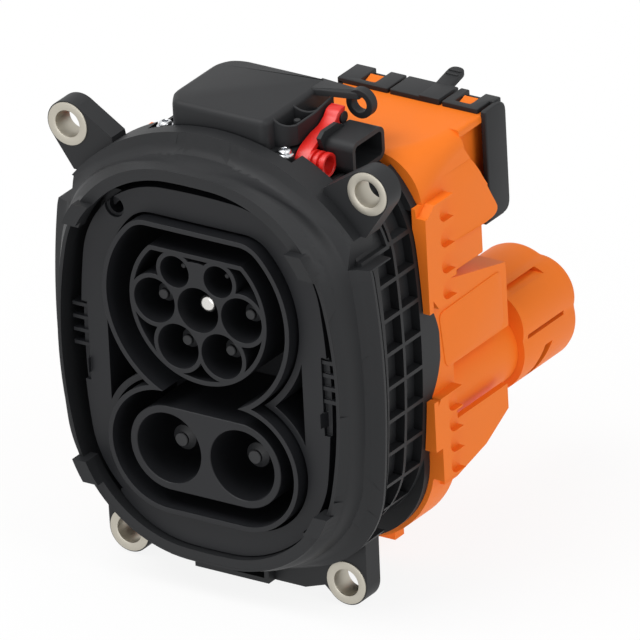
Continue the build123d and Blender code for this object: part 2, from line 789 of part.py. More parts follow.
def make_rear_housing():
    """Orange high-voltage housing: tub, hood with its neck, side blocks, cable ducts and clip bars."""
    body = prism(rear_outline(0) + outline(grown(body_outline, -1.0)), rear_front_y, rear_front_y + 3)
    body += prism(rear_outline(0), rear_front_y, tub_back_y)
    hood_back = cover_front_y - loose_fit
    hood = side_prism([(rear_front_y, hood_low_z), (hood_back, hood_low_z), (hood_back, hood_bend_z),
                       (hood_slope_y, hood_slope_z), (hood_slope_y, rear_top), (rear_front_y, rear_top)],
                      hood_left, rear_half_w)
    body += hood
    body += block(neck_left, neck_right, tub_back_y, neck_back_y, neck_low_z, rear_top)
    for side in (-1, 1):
        low_x, high_x = sorted((side * 22, side * rear_half_w))
        side_block = side_prism([(tub_back_y - 1, block_low), (block_back_y, block_low),
                                 (block_back_y, block_top - 7.4), (tub_back_y - 1, block_top)], low_x, high_x)
        body += side_block
        recess_x = sorted((side * (rear_half_w - 1.6), side * (rear_half_w + 1)))
        body -= block(recess_x[0], recess_x[1], tub_back_y + 6, block_back_y - 5, block_low + 6, block_top - 10)
        body += rod_y(side * duct_x, duct_z, duct_r, tub_back_y - 1, duct_back_y)
        fin_x = sorted((side * (rear_half_w - fin_thick), side * rear_half_w))
        body += side_prism([(tub_back_y - 8, fin_top), (fin_back_y, fin_top), (fin_back_y, fin_top - 8.3),
                            (fin_back_y - 13, fin_low + 4), (tub_back_y - 1, fin_low),
                            (tub_back_y - 8, fin_low)], fin_x[0], fin_x[1])
        for low, high in ((clip_top_low, clip_top_high), (clip_low_low, clip_low_high)):
            bar_x = sorted((side * (rear_half_w - 1.5), side * (rear_half_w + clip_out)))
            body += block(bar_x[0], bar_x[1], rear_front_y, clip_back_y, low, high)
            hook = keep_side(bar_x[0], bar_x[1], low, high) - outline(grown(body_outline, loose_fit))
            if low < low_lip_top:
                hook -= keep_side(-far, far, low, low_lip_top + loose_fit)
            body += prism(hook, clip_front_y, rear_front_y)
            for index in range(clip_count):
                pitch = (high - low) / clip_count
                z = low + (index + 0.5) * pitch
                pocket_x = sorted((side * (rear_half_w + clip_out - clip_depth), side * (rear_half_w + 6)))
                body -= rod_x(clip_pocket_y, z, clip_pocket / 2, *pocket_x)
                body -= block(*pocket_x, clip_pocket_y, clip_back_y + 1, z - clip_pocket / 2,
                              z + clip_pocket / 2)

        foot_left = side * foot_x - foot_width / 2
        body += block(foot_left, foot_left + foot_width, foot_front_y, tub_back_y, rear_low - foot_drop,
                      rear_low + 3)

    body -= tongue_bar(loose_fit) - prism(outline(grown(body_outline, -tongue_thick - loose_fit)),
                                          mid_back_y - 1, tub_back_y)
    hollow = outline(grown(body_outline, -rib_depth - mid_wall))
    body -= prism(hollow & rear_outline(-rear_wall), rear_front_y - 1, tub_back_y - rear_wall)
    for side in (-1, 1):
        body -= rod_y(side * duct_x, duct_z, duct_r - duct_wall, tub_back_y - 5, duct_back_y + 1)
    body -= block(neck_left + rear_wall, neck_right - rear_wall, tub_back_y - 5, neck_back_y + 1,
                  neck_low_z + rear_wall, rear_top - rear_wall)
    for x in window_places():
        body += side_prism([(nose_front_y, rear_top - 0.5), (nose_back_y, rear_top - 0.5),
                            (nose_back_y, rear_top + nose_rise)], x - nose_width / 2, x + nose_width / 2)
    return body


def window_places():
    """Middles of the two snap windows, which stand beside the slits of the strap."""
    middle = (cover_left + cover_right) / 2
    out = strap_width / 2 + nose_width / 2 + window_gap + window_rim
    return [middle - out, middle + out]


def make_rear_cover():
    """Cap that snaps over the end of the neck, with windows for the snap noses and a strap tab."""
    body = block(cover_left, cover_right, cover_front_y, cover_back_y, cover_low, cover_top)
    body = fillet(body.edges().filter_by(Axis.Y), 2.5)
    gap = slide_fit
    body -= block(neck_left - gap, neck_right + gap, cover_front_y - 1, neck_back_y + gap,
                  neck_low_z - gap, rear_top + gap)
    half_window = nose_width / 2 + window_gap
    for x in window_places():
        body -= block(x - half_window, x + half_window, nose_front_y - window_gap,
                      nose_back_y + window_gap, rear_top - 1, cover_top + 1)
    middle = (cover_left + cover_right) / 2
    for edge in (middle - strap_width / 2, middle + strap_width / 2):
        body -= block(edge - slit_width / 2, edge + slit_width / 2, cover_front_y - 1, nose_back_y,
                      rear_top - 1, cover_top + 1)
    tab = side_prism([(cover_back_y - 4, cover_top - tab_thick), (cover_back_y - 4, cover_top),
                      (cover_back_y, cover_top + 0.3), (cover_back_y + tab_reach, cover_top + tab_rise),
                      (cover_back_y + tab_reach, cover_top + tab_rise - tab_thick),
                      (cover_back_y + 0.6, cover_top - tab_thick)],
                     tab_x - tab_width / 2, tab_x + tab_width / 2)
    return body + tab


def make_cable_cap(side):
    """Cap that clips round the end of a duct and closes the cable outlet."""
    body = prism(cap_outline(0, side), cap_front_y, cap_back_y)
    body -= prism(cap_outline(-cap_wall, side), cap_front_y + 6, cap_back_y - 2.4)
    body -= rod_y(side * duct_x, duct_z, duct_r + slide_fit, cap_front_y - 1, cap_front_y + 7)
    body -= rod_y(side * duct_x, duct_z, cable_r, cap_front_y, cap_back_y + 1)
    outer = cap_side_x + cap_side_r
    for z in (-34.5, -46.5):
        slit_x = sorted((side * (outer - 5), side * (outer + 1)))
        body -= block(slit_x[0], slit_x[1], cap_front_y + 7, cap_front_y + 21, z - 0.8, z + 0.8)
    return body


def make_cable_seal(side):
    """Rubber seal between the cable and the cap, seated on the duct's end."""
    outer = rod_y(side * duct_x, duct_z, duct_r - 0.4, duct_back_y, duct_back_y + 9)
    return outer - rod_y(side * duct_x, duct_z, cable_r, duct_back_y - 1, duct_back_y + 10)


def make_busbar(side):
    """Copper bar from a DC pin's terminal to the duct."""
    front = base_back_y + terminal_length
    end_x = side * duct_x
    start_x = side * dc_side
    shape = make_face(Polyline((start_x - side * 6, -dc_drop - 6), (end_x + side * 4, -dc_drop - 4),
                               (end_x + side * 4, -dc_drop + 8), (start_x - side * 6, -dc_drop + 6), close=True))
    bar = prism(shape, front, front + 3)
    return bar - rod_y(start_x, -dc_drop, 2.1, front - 1, front + 4)


def make_busbar_screw(side):
    """Screw that clamps a busbar to its pin."""
    front = base_back_y + terminal_length
    x = side * dc_side
    return rod_y(x, -dc_drop, 4.2, front + 3, front + 6.5)


def gear_outline(tip_r, root_r, teeth):
    """Spur outline with straight flanks."""
    points = []
    step = 2 * math.pi / teeth
    for index in range(teeth):
        angle = index * step
        for share, radius in ((-0.30, root_r), (-0.14, tip_r), (0.14, tip_r), (0.30, root_r)):
            turn = angle + share * step
            points.append((radius * math.cos(turn), radius * math.sin(turn)))
    return make_face(Polyline(*points, close=True))


def make_actuator_parts():
    """Everything of the lock actuator, by node name."""
    parts = {}
    left, right = actuator_left, actuator_right
    front, back = actuator_front_y, actuator_back_y

    cover = block(left, right, front, back, actuator_split_z, actuator_top_z)
    cover = fillet(cover.edges().filter_by(Axis.Z), actuator_corner_r)
    cover = fillet(cover.edges().sort_by(Axis.Z)[-8:], 2.0)
    inner = block(left + actuator_wall, right - actuator_wall, front + actuator_wall, back - actuator_wall,
                  actuator_split_z - 1, actuator_top_z - actuator_wall)
    outside = cover
    cover -= inner
    for side in (-1, 1):
        x = side * screw_side
        cover += outside & rod_z(x, screw_y, screw_head_r + 2.0, actuator_split_z, actuator_top_z - 1)
        cover -= rod_z(x, screw_y, screw_head_r + loose_fit, actuator_split_z - 1, actuator_top_z + 1)
    cover += rod_x(catch_y, catch_z, catch_r, right - 0.5, strap_right + 0.3)
    arm = block(right - 1, eyelet_x - eyelet_r + 1, eyelet_front_y, eyelet_front_y + eyelet_thick,
                eyelet_z + 1.0, eyelet_z + 3.6)
    ring = rod_y(eyelet_x, eyelet_z, eyelet_r, eyelet_front_y, eyelet_front_y + eyelet_thick)
    ring -= rod_y(eyelet_x, eyelet_z, eyelet_hole_r, eyelet_front_y - 1, eyelet_front_y + eyelet_thick + 1)
    parts["actuator_cover"] = cover + arm + ring

    base = block(left, right, front, back, actuator_low_z, actuator_split_z)
    base = fillet(base.edges().filter_by(Axis.Z), actuator_corner_r)
    base -= block(left + actuator_wall, right - actuator_wall, front + 8, back - actuator_wall,
                  actuator_low_z + 1.2, actuator_split_z + 1)
    for side in (-1, 1):
        ear = rod_z(side * screw_side, screw_y, screw_ear_r, shelf_z, shelf_z + 2)
        ear_x = sorted((side * screw_side, side * (screw_side - 5)))
        ear += block(ear_x[0], ear_x[1], screw_y, screw_y + screw_ear_r, shelf_z + 0.4, shelf_z + 2)
        base += ear
        base -= rod_z(side * screw_side, screw_y, screw_r + slide_fit, shelf_z - 1, shelf_z + 4)
        base -= rod_z(side * screw_side, screw_y, screw_head_r + loose_fit, shelf_z + 2, actuator_split_z + 1)
    base -= rod_z(0, lock_y, guide_r - 1.0, actuator_low_z - 1, actuator_split_z + 1)
    base += block(right - 1, socket_back_x + 1, socket_front_y + 3, socket_rear_y, bridge_low_z, bridge_top_z)
    tube_face = Plane(origin=(socket_back_x, 0, 0), x_dir=(0, 1, 0), z_dir=(1, 0, 0))
    mid_y = (socket_front_y + socket_rear_y) / 2
    mid_z = (socket_low_z + socket_top_z) / 2
    wide = socket_rear_y - socket_front_y
    high = socket_top_z - socket_low_z
    outer = tube_face * (Pos(mid_y, mid_z) * RectangleRounded(wide, high, socket_corner_r))
    inner = tube_face * (Pos(mid_y, mid_z) * RectangleRounded(
        wide - 2 * socket_wall, high - 2 * socket_wall, socket_corner_r - socket_wall))
    tube = extrude(outer, amount=mouth_x - socket_back_x)
    tube -= Pos(1.6, 0, 0) * extrude(inner, amount=mouth_x - socket_back_x)
    base += tube
    ear = block(right - 1, strap_left - loose_fit, hub_y - 3.8, hub_y + 3.8, hub_z - 3.2, actuator_low_z + 1.5)
    base += ear
    base -= rod_x(hub_y, hub_z, hub_pin_r, right - 2, strap_left + 1)
    cheek = side_prism([(30.6, 47.0), (29.0, 49.4), (27.6, 52.8), (30.0, 54.4), (37.3, 54.4), (42.8, 51.2),
                        (42.8, 47.0)], socket_back_x - 0.3, socket_back_x + 1.2)
    base += cheek
    for index in range(4):
        y = socket_front_y + 4.3 + index * 3
        base -= block(socket_back_x - 1, socket_back_x + 3, y - 0.35, y + 0.35, mid_z - 0.35, mid_z + 0.35)
    parts["actuator_base"] = base

    contacts = []
    for index in range(4):
        y = socket_front_y + 4.3 + index * 3
        contacts.append(block(socket_back_x - 0.2, socket_back_x + 8, y - 0.35, y + 0.35,
                              mid_z - 0.35, mid_z + 0.35))
    parts["connector_pins"] = Compound(children=contacts)

    screws = []
    for side in (-1, 1):
        shank = rod_z(side * screw_side, screw_y, screw_r, shelf_z - 5, shelf_z + 2.5)
        head = rod_z(side * screw_side, screw_y, screw_head_r, shelf_z + 2, shelf_z + 4.2)
        head = fillet(head.edges().filter_by(GeomType.CIRCLE).sort_by(Axis.Z)[-1], 1.2)
        screws.append(shank + head)
    parts["actuator_screws"] = Compound(children=screws)

    pin = rod_z(0, lock_y, lock_pin_r, lock_rest_z, actuator_split_z - 1.8)
    pin = chamfer(pin.edges().filter_by(GeomType.CIRCLE).sort_by(Axis.Z)[0], 0.8)
    pin += rod_z(0, lock_y, lock_neck_r, actuator_split_z - 2, lock_top_z)
    parts["lock_pin"] = pin
    guide = rod_z(0, lock_y, guide_r, body_outline[1] + body_outline[2] - 8, actuator_low_z)
    parts["lock_pin_guide"] = guide - rod_z(0, lock_y, lock_pin_r + 0.08, 30, actuator_low_z + 1)

    wheel = Pos(0, lock_y, wheel_low_z) * extrude(gear_outline(wheel_tip_r, wheel_root_r, wheel_teeth),
                                                  amount=wheel_thick)
    parts["worm_wheel"] = wheel - rod_z(0, lock_y, lock_neck_r + 0.08, wheel_low_z - 1, wheel_low_z + 6)

    worm_mid = lock_y
    worm_z = wheel_low_z + wheel_thick / 2
    worm = rod_y(worm_x, worm_z, worm_r - 0.9, worm_mid - worm_length / 2, worm_mid + worm_length / 2)
    for index in range(5):
        y = worm_mid + (index - 2) * 2.3
        worm += rod_y(worm_x, worm_z, worm_r, y - 0.5, y + 0.5)
    motor_front = worm_mid + worm_length / 2 + 2
    worm += rod_y(worm_x, worm_z, shaft_r, worm_mid + worm_length / 2 - 1, motor_front + 2)
    parts["worm"] = worm
    can = rod_y(worm_x, worm_z, motor_r, motor_front, motor_front + motor_length)
    can &= block(worm_x - 6, worm_x + 6, motor_front, motor_front + motor_length,
                 worm_z - motor_r + 0.6, worm_z + motor_r - 0.6)
    parts["motor"] = can - rod_y(worm_x, worm_z, shaft_r + 0.05, motor_front - 1, motor_front + 2.3)
    return parts


def make_lever():
    """Red release lever: a strap over the hub, a spool beside it and a hook over the catch pin."""
    plane = Plane(origin=(strap_left, 0, 0), x_dir=(0, 1, 0), z_dir=(1, 0, 0))
    path = Spline((hub_y - hub_r + band_thick / 2, hub_z), (hub_y - 0.4, hub_z + 4.0), (32.0, 51.0),
                  (37.6, 52.6), (catch_y - 3.2, catch_z + 1.2), tangents=((0, 1), (0.5, 1)))
    strip = trace(path, line_width=band_thick)
    shape = strip + Pos(hub_y, hub_z) * Circle(hub_r)
    ring = (Pos(catch_y, catch_z) * Circle(catch_r + loose_fit + catch_ring)
            - Pos(catch_y, catch_z) * Circle(catch_r + loose_fit))
    reach_y = catch_y - hub_y
    reach_z = catch_z - hub_z
    turn = math.degrees(math.atan2(-reach_y, reach_z))
    slot = (Pos(catch_y, catch_z) * Rot(0, 0, turn) * Pos(5, 0)
            * Rectangle(10, 2 * (catch_r + loose_fit)))
    shape += ring
    shape -= slot
    shape -= Pos(catch_y, catch_z) * Circle(catch_r + loose_fit)
    lever = extrude(plane * shape, amount=strap_right - strap_left)
    spool = rod_x(hub_y, hub_z, 2.6, strap_right - 0.5, spool_right)
    spool += rod_x(hub_y, hub_z, spool_r, strap_right + 1.2, strap_right + 2.2)
    spool += rod_x(hub_y, hub_z, spool_r, spool_right - 2.2, spool_right)
    return lever + spool - rod_x(hub_y, hub_z, hub_pin_r + 0.06, strap_left - 1, spool_right + 1)


def make_lever_pin():
    """Pin that carries the release lever."""
    pin = rod_x(hub_y, hub_z, hub_pin_r, actuator_right, spool_right + 0.8)
    return pin + rod_x(hub_y, hub_z, 2.3, spool_right + loose_fit, spool_right + 1.2)


def make_sensor_board():
    """Circuit board with the temperature sensors, on the back of the socket's base."""
    board = block(-12, 12, base_back_y + 1.0, base_back_y + 2.6, -34, -19)
    for side in (-1, 1):
        board += block(side * 8 - 2, side * 8 + 2, base_back_y, base_back_y + 1.2, -30, -24)
    return board


nodes = {
    "front_housing": make_front_housing(),
    "lug_bushings": make_bushings(),
    "face_insert": make_insert(),
    "socket_housing": make_socket(),
    "ac_contact_carrier": make_ac_carrier(),
    "dc_contact_carrier": make_dc_carrier(),
    "mid_housing": make_mid_housing(),
    "socket_gasket": make_socket_gasket(),
    "rear_gasket": make_rear_gasket(),
    "rear_housing": make_rear_housing(),
    "rear_cover": make_rear_cover(),
    "cable_cap_plus": make_cable_cap(1),
    "cable_cap_minus": make_cable_cap(-1),
    "cable_seal_plus": make_cable_seal(1),
    "cable_seal_minus": make_cable_seal(-1),
    "dc_busbar_plus": make_busbar(1),
    "dc_busbar_minus": make_busbar(-1),
    "busbar_screws": Compound(children=[make_busbar_screw(1), make_busbar_screw(-1)]),
    "sensor_board": make_sensor_board(),
    "release_lever": make_lever(),
    "lever_pin": make_lever_pin(),
}
nodes.update(make_pins())
nodes.update(make_actuator_parts())

for name, shape in nodes.items():
    export_step(shape, f"parts/{name}.step")
    print(name, round(shape.volume))
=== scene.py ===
"""Looks of the charge port inlet: surfaces worked out from its outlines, moulded edges and finishes."""

import json
import math

import bmesh
import bpy
import numpy as np
from mathutils import Matrix, Vector

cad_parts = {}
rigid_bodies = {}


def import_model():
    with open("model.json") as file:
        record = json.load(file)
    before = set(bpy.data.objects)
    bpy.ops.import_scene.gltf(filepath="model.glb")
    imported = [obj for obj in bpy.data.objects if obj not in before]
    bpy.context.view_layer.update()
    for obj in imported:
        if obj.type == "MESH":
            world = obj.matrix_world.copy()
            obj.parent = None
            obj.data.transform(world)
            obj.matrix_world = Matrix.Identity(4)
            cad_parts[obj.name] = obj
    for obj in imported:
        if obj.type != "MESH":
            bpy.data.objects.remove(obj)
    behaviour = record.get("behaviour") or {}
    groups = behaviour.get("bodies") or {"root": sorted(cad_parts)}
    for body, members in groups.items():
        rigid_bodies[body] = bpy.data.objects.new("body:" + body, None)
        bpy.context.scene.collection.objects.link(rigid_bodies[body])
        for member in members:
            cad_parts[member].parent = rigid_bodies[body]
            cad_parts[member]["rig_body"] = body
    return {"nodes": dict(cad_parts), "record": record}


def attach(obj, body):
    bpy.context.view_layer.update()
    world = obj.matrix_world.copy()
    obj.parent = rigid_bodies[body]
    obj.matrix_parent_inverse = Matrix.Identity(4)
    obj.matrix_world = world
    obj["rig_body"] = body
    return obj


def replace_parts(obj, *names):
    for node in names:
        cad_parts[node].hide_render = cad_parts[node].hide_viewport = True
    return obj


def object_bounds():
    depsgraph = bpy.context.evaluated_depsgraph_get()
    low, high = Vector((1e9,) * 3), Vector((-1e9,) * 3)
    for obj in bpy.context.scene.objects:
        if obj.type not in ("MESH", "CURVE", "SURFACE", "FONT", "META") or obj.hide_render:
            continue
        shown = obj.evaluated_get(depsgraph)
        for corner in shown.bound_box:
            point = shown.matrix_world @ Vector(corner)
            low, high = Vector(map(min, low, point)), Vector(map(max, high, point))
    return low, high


bl_info = {
    "name": "Charge Port Inlet",
    "version": (1, 0, 0),
    "blender": (4, 5, 0),
    "location": "View3D > Sidebar > Inlet",
    "description": "Builds the visible pieces, finishes and stage of a charge port inlet",
    "category": "Add Mesh",
}

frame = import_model()
CAD_BOX = [list(corner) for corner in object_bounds()]
NODES = frame["nodes"]
SLOT_OF = {row["node"]: row["material_slot"] for row in frame["record"]["subparts"]}
FINISH = {}
MM = 0.001  # a millimetre in metres: every length below is in mm unless its comment says metres

# Bowed outlines: half width, half height, middle height, side radius, end radius, corner radius.
# A pair of them gives the lower half and the upper half.
COLLAR_RIM = (51.8, 66.0, -19.8, 151.2, 197.2, 43.2)
COLLAR_BULGE = ((53.7, 67.0, -19.8, 200.0, 188.0, 43.8), (53.7, 66.6, -19.8, 190.0, 110.0, 40.0))
COLLAR_CREASE = ((54.9, 67.6, -19.8, 268.0, 183.0, 44.4), (54.9, 68.0, -19.8, 245.0, 71.0, 31.0))
COLLAR_HOLLOW = ((56.6, 69.0, -19.0, 275.0, 150.0, 42.0), (56.6, 69.4, -19.0, 255.0, 70.0, 27.0))
COLLAR_FLARE = ((60.4, 71.6, -18.0, 300.0, 100.0, 36.0), (60.4, 72.4, -18.0, 270.0, 67.6, 19.0))

# Depths of the collar's outlines, from its rim back to the flange
RIM_Y = -1.5
BULGE_Y = 2.2
CREASE_Y = 7.7
HOLLOW_Y = 9.4
FLARE_Y = 10.6
FLARE_BACK_Y = 12.2
FLANGE_Y = 14.6
# Radii of the rim's and the flare's rounded edges
RIM_ROUND = 0.8
FLARE_ROUND = 0.5
# The collar's skin lies this far outside the wall of the solid at its two ends
SKIN_LIFT = 0.03
# The two bracket notches: how far out they start, and their ends in Z
BRACKET_X = 51.0
BRACKET_Z = (21.4, 30.2)
# Middles of the four lugs, X and Z
LUGS = ((-55.0, 45.2), (55.0, 45.2), (-40.1, -89.6), (40.1, -89.6))

# Edges that bend more than this many degrees stay sharp in the shading
PIECE_SMOOTH = 35.0
MOULDED_SMOOTH = 32.0
COLLAR_SMOOTH = 28.0
SLEEVE_SMOOTH = 40.0
GUARD_SMOOTH = 30.0


# Meshes

def new_mesh(name, points, faces):
    """A mesh of points, an array in mm, and faces."""
    mesh = bpy.data.meshes.new(name)
    mesh.from_pydata((np.asarray(points, float) * MM).tolist(), [], faces)
    return mesh


def turn_outward(mesh):
    """Makes all faces of a closed mesh look outward."""
    bm = bmesh.new()
    bm.from_mesh(mesh)
    bmesh.ops.recalc_face_normals(bm, faces=bm.faces)
    bm.to_mesh(mesh)
    bm.free()


def move_corners(mesh, change):
    """Replaces a mesh's corners, an array in mm, by what change makes of them."""
    flat = np.empty(len(mesh.vertices) * 3)
    mesh.vertices.foreach_get("co", flat)
    mesh.vertices.foreach_set("co", (change(flat.reshape(-1, 3) / MM) * MM).ravel())


def put_piece(name, parts, slot, node=None, body="inlet", smooth_deg=PIECE_SMOOTH):
    """Puts joined surfaces in one object with the finish of a slot, in place of a node if one is named."""
    mesh = new_mesh(name, *join_surfaces(parts))
    mesh.validate()
    turn_outward(mesh)
    piece = finish_piece(name, mesh, body, slot, smooth_deg)
    if node is not None:
        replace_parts(piece, node)


def finish_piece(name, mesh, body, slot, smooth_deg=PIECE_SMOOTH):
    """Shades a mesh smooth below an angle, gives it its finish and lets it ride on its body."""
    mesh.materials.clear()
    mesh.materials.append(FINISH[slot])
    obj = bpy.data.objects.new(name, mesh)
    bpy.context.scene.collection.objects.link(obj)
    mesh.shade_smooth()
    mesh.set_sharp_from_angle(angle=math.radians(smooth_deg))
    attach(obj, body)
    return obj


# Grids and surfaces

def grid_faces(rows, cols, wrap=True):
    """Quads of a grid of rows by cols points; wrap joins the last column to the first."""
    r = np.arange(rows - 1)[:, None]
    c = np.arange(cols if wrap else cols - 1)[None, :]
    nxt = (c + 1) % cols
    quads = np.stack([r * cols + c, r * cols + nxt, (r + 1) * cols + nxt, (r + 1) * cols + c], axis=-1)
    return quads.reshape(-1, 4).tolist()


def skin(rings, wrap=True, flip=False):
    """Points and quads of a surface through rings, an array of rings by points by three."""
    rings = np.asarray(rings, float)
    rows, cols = rings.shape[:2]
    faces = grid_faces(rows, cols, wrap)
    if flip:
        faces = [f[::-1] for f in faces]
    return rings.reshape(-1, 3), faces


def bowed_outline(shape, count=24):
    """Points of a closed outline of ten tangent arcs, the same share of each arc for every shape.

    The upper half comes from the second shape of a pair and the lower half from the first, mirrored.
    """
    low, top = shape if isinstance(shape[0], tuple) else (shape, shape)
    upper = half_outline(top, count) + np.array([0.0, top[2]])
    lower = half_outline(low, count) * -1.0 + np.array([0.0, low[2]])
    return np.concatenate([upper, lower])


def half_outline(shape, count):
    """Points of an outline's upper half, right to left, about its own middle height.

    Each long side is an arc round a centre on its own axis; the corner arc is tangent inside its two
    neighbours, so its centre lies at the crossing of two circles about theirs.
    """
    half_w, half_h, _, side_r, end_r, corner_r = shape
    side_c, end_c = half_w - side_r, half_h - end_r
    gap = math.hypot(side_c, end_c)
    reach_s, reach_e = side_r - corner_r, end_r - corner_r
    along = (reach_s ** 2 - reach_e ** 2 + gap ** 2) / (2 * gap)
    off = math.sqrt(reach_s ** 2 - along ** 2)
    ux, uz = -side_c / gap, end_c / gap
    cx, cz = side_c + ux * along - uz * off, uz * along + ux * off
    turn_s = math.atan2(cz, cx - side_c)
    turn_e = math.atan2(cz - end_c, cx)
    share = np.linspace(0.0, 1.0, count, endpoint=False)
    side = arc_points(side_c, 0.0, side_r, turn_s * share)
    corner = arc_points(cx, cz, corner_r, turn_s + (turn_e - turn_s) * share)
    end = arc_points(0.0, end_c, end_r, turn_e + (math.pi - 2 * turn_e) * share)
    flipped = np.array([-1.0, 1.0])
    corner_left = arc_points(cx, cz, corner_r, turn_e + (turn_s - turn_e) * share) * flipped
    side_left = arc_points(side_c, 0.0, side_r, turn_s * (1 - share)) * flipped
    return np.concatenate([side, corner, end, corner_left, side_left])


def arc_points(x, z, radius, turns):
    """Points of a circle at the given angles."""
    return np.stack([x + radius * np.cos(turns), z + radius * np.sin(turns)], axis=-1)


def at_depth(outline, y):
    """An outline in X and Z as points at a depth y."""
    return np.insert(np.asarray(outline, float), 1, y, axis=1)


def smooth_between(places, outlines, at):
    """Outlines at the depths at, on a monotone cubic through known outlines at their places.

    The slope at an inner place is the harmonic mean of the slopes on both sides where they agree in
    sign, and nothing where they don't, so the surface never swings past its outlines.
    """
    places, outlines, at = np.asarray(places, float), np.asarray(outlines, float), np.asarray(at, float)
    steps = np.diff(places)[:, None, None]
    rise = np.diff(outlines, axis=0) / steps
    before, after = rise[:-1], rise[1:]
    agree = before * after > 1e-12
    mean = np.where(agree, 2 * before * after / np.where(agree, before + after, 1.0), 0.0)
    slope = np.concatenate([rise[:1], mean, rise[-1:]])
    index = np.clip(np.searchsorted(places, at, side="right") - 1, 0, len(places) - 2)
    step = steps[index]
    share = ((at - places[index])[:, None, None]) / step
    start, end = outlines[index], outlines[index + 1]
    return (start * (1 + 2 * share) * (1 - share) ** 2 + end * share ** 2 * (3 - 2 * share)
            + slope[index] * step * share * (1 - share) ** 2
            - slope[index + 1] * step * share ** 2 * (1 - share))


def grown(shape, distance):
    """The same bowed outline, larger all round by a distance."""
    if isinstance(shape[0], tuple):
        return tuple(grown(half, distance) for half in shape)
    half_w, half_h, mid_z, side_r, end_r, corner_r = shape
    return (half_w + distance, half_h + distance, mid_z, side_r + distance, end_r + distance,
            corner_r + distance)


def turned_surface(profile, centre, steps=48, axis="Y"):
    """Points and quads of a profile turned about an axis; the profile is (radius, place on the axis)."""
    profile = np.asarray(profile, float)
    turn = np.linspace(0.0, 2 * math.pi, steps, endpoint=False)
    radius, place = profile[:, 0][:, None], profile[:, 1][:, None]
    side = radius * np.cos(turn)[None, :]
    rise = radius * np.sin(turn)[None, :]
    along = place + 0 * side
    order = {"Y": (side, along, rise), "Z": (rise, side, along), "X": (along, rise, side)}[axis]
    rings = np.stack(order, axis=-1) + np.asarray(centre, float)
    return skin(rings)


def rounded_outline(corners, radius, steps=6):
    """A closed outline with each corner rounded by a parabola that starts and ends a radius away."""
    corners = np.asarray(corners, float)
    radius = np.broadcast_to(np.asarray(radius, float), len(corners))
    points = []
    for index, corner in enumerate(corners):
        back, ahead = corners[index - 1] - corner, corners[(index + 1) % len(corners)] - corner
        reach = min(radius[index], 0.48 * np.hypot(*back), 0.48 * np.hypot(*ahead))
        start = corner + back / np.hypot(*back) * reach
        end = corner + ahead / np.hypot(*ahead) * reach
        share = np.linspace(0.0, 1.0, steps)[:, None]
        points.append(start * (1 - share) ** 2 + corner * 2 * share * (1 - share) + end * share ** 2)
    return np.concatenate(points)


def inset_outline(outline, distance):
    """An outline moved to its inner side, each point along the mean normal of its two sides."""
    back, ahead = outline - np.roll(outline, 1, 0), np.roll(outline, -1, 0) - outline
    back /= np.maximum(np.hypot(back[:, 0], back[:, 1]), 1e-9)[:, None]
    ahead /= np.maximum(np.hypot(ahead[:, 0], ahead[:, 1]), 1e-9)[:, None]
    area = np.sum(outline[:, 0] * np.roll(outline[:, 1], -1) - outline[:, 1] * np.roll(outline[:, 0], -1))
    side = distance * math.copysign(1.0, area)
    normal = np.stack([-(back + ahead)[:, 1], (back + ahead)[:, 0]], axis=-1)
    spread = np.maximum(1.0 + np.sum(back * ahead, axis=1), 0.4)[:, None]
    return outline + normal / spread * side


def plate(outline, low, high, edge, axis):
    """Closed plate: an outline carried along an axis from low to high, where its edge is rounded."""
    outline = np.asarray(outline, float)
    way = math.copysign(1.0, high - low)
    turns = np.linspace(0.0, math.pi / 2, 4)
    levels = [low] + [high - way * edge * (1 - math.sin(turn)) for turn in turns]
    insets = [0.0] + [edge * (1 - math.cos(turn)) for turn in turns]
    rings = []
    for level, inset in zip(levels, insets):
        ring = inset_outline(outline, inset)
        along = np.full(len(ring), level)
        order = {"X": (along, ring[:, 0], ring[:, 1]), "Y": (ring[:, 0], along, ring[:, 1]),
                 "Z": (ring[:, 0], ring[:, 1], along)}[axis]
        rings.append(np.stack(order, axis=-1))
    points, faces = skin(rings)
    count, last = len(outline), len(points)
    return points, faces + [list(range(count - 1, -1, -1)), list(range(last - count, last))]


def box_surface(x0, x1, y0, y1, z0, z1):
    """A plain block as a closed surface."""
    return plate([(x0, y0), (x1, y0), (x1, y1), (x0, y1)], z0, z1, 0.0, "Z")


def swept_band(path, x0, x1, thick, edge=0.3):
    """Closed band: a path in Y and Z, as wide as x0 to x1, with rounded edges and a thickness."""
    path = np.asarray(path, float)
    ahead = np.gradient(path, axis=0)
    ahead /= np.hypot(ahead[:, 0], ahead[:, 1])[:, None]
    up = np.stack([-ahead[:, 1], ahead[:, 0]], axis=-1)
    section = rounded_outline([(x0, -thick / 2), (x1, -thick / 2), (x1, thick / 2), (x0, thick / 2)], edge, 3)
    rings = [np.stack([section[:, 0], y + section[:, 1] * uy, z + section[:, 1] * uz], axis=-1)
             for (y, z), (uy, uz) in zip(path, up)]
    points, faces = skin(rings)
    count, last = len(section), len(points)
    return points, faces + [list(range(count)), list(range(last - 1, last - count - 1, -1))]


def smooth_path(knots, per=8):
    """Points on a Catmull-Rom curve through knots."""
    knots = np.asarray(knots, float)
    full = np.concatenate([[2 * knots[0] - knots[1]], knots, [2 * knots[-1] - knots[-2]]])
    share = np.linspace(0.0, 1.0, per, endpoint=False)[:, None]
    points = []
    for a, b, c, d in zip(full, full[1:], full[2:], full[3:]):
        points.append(0.5 * (2 * b + (c - a) * share + (2 * a - 5 * b + 4 * c - d) * share ** 2
                             + (3 * b - a - 3 * c + d) * share ** 3))
    return np.concatenate(points + [knots[-1:]])


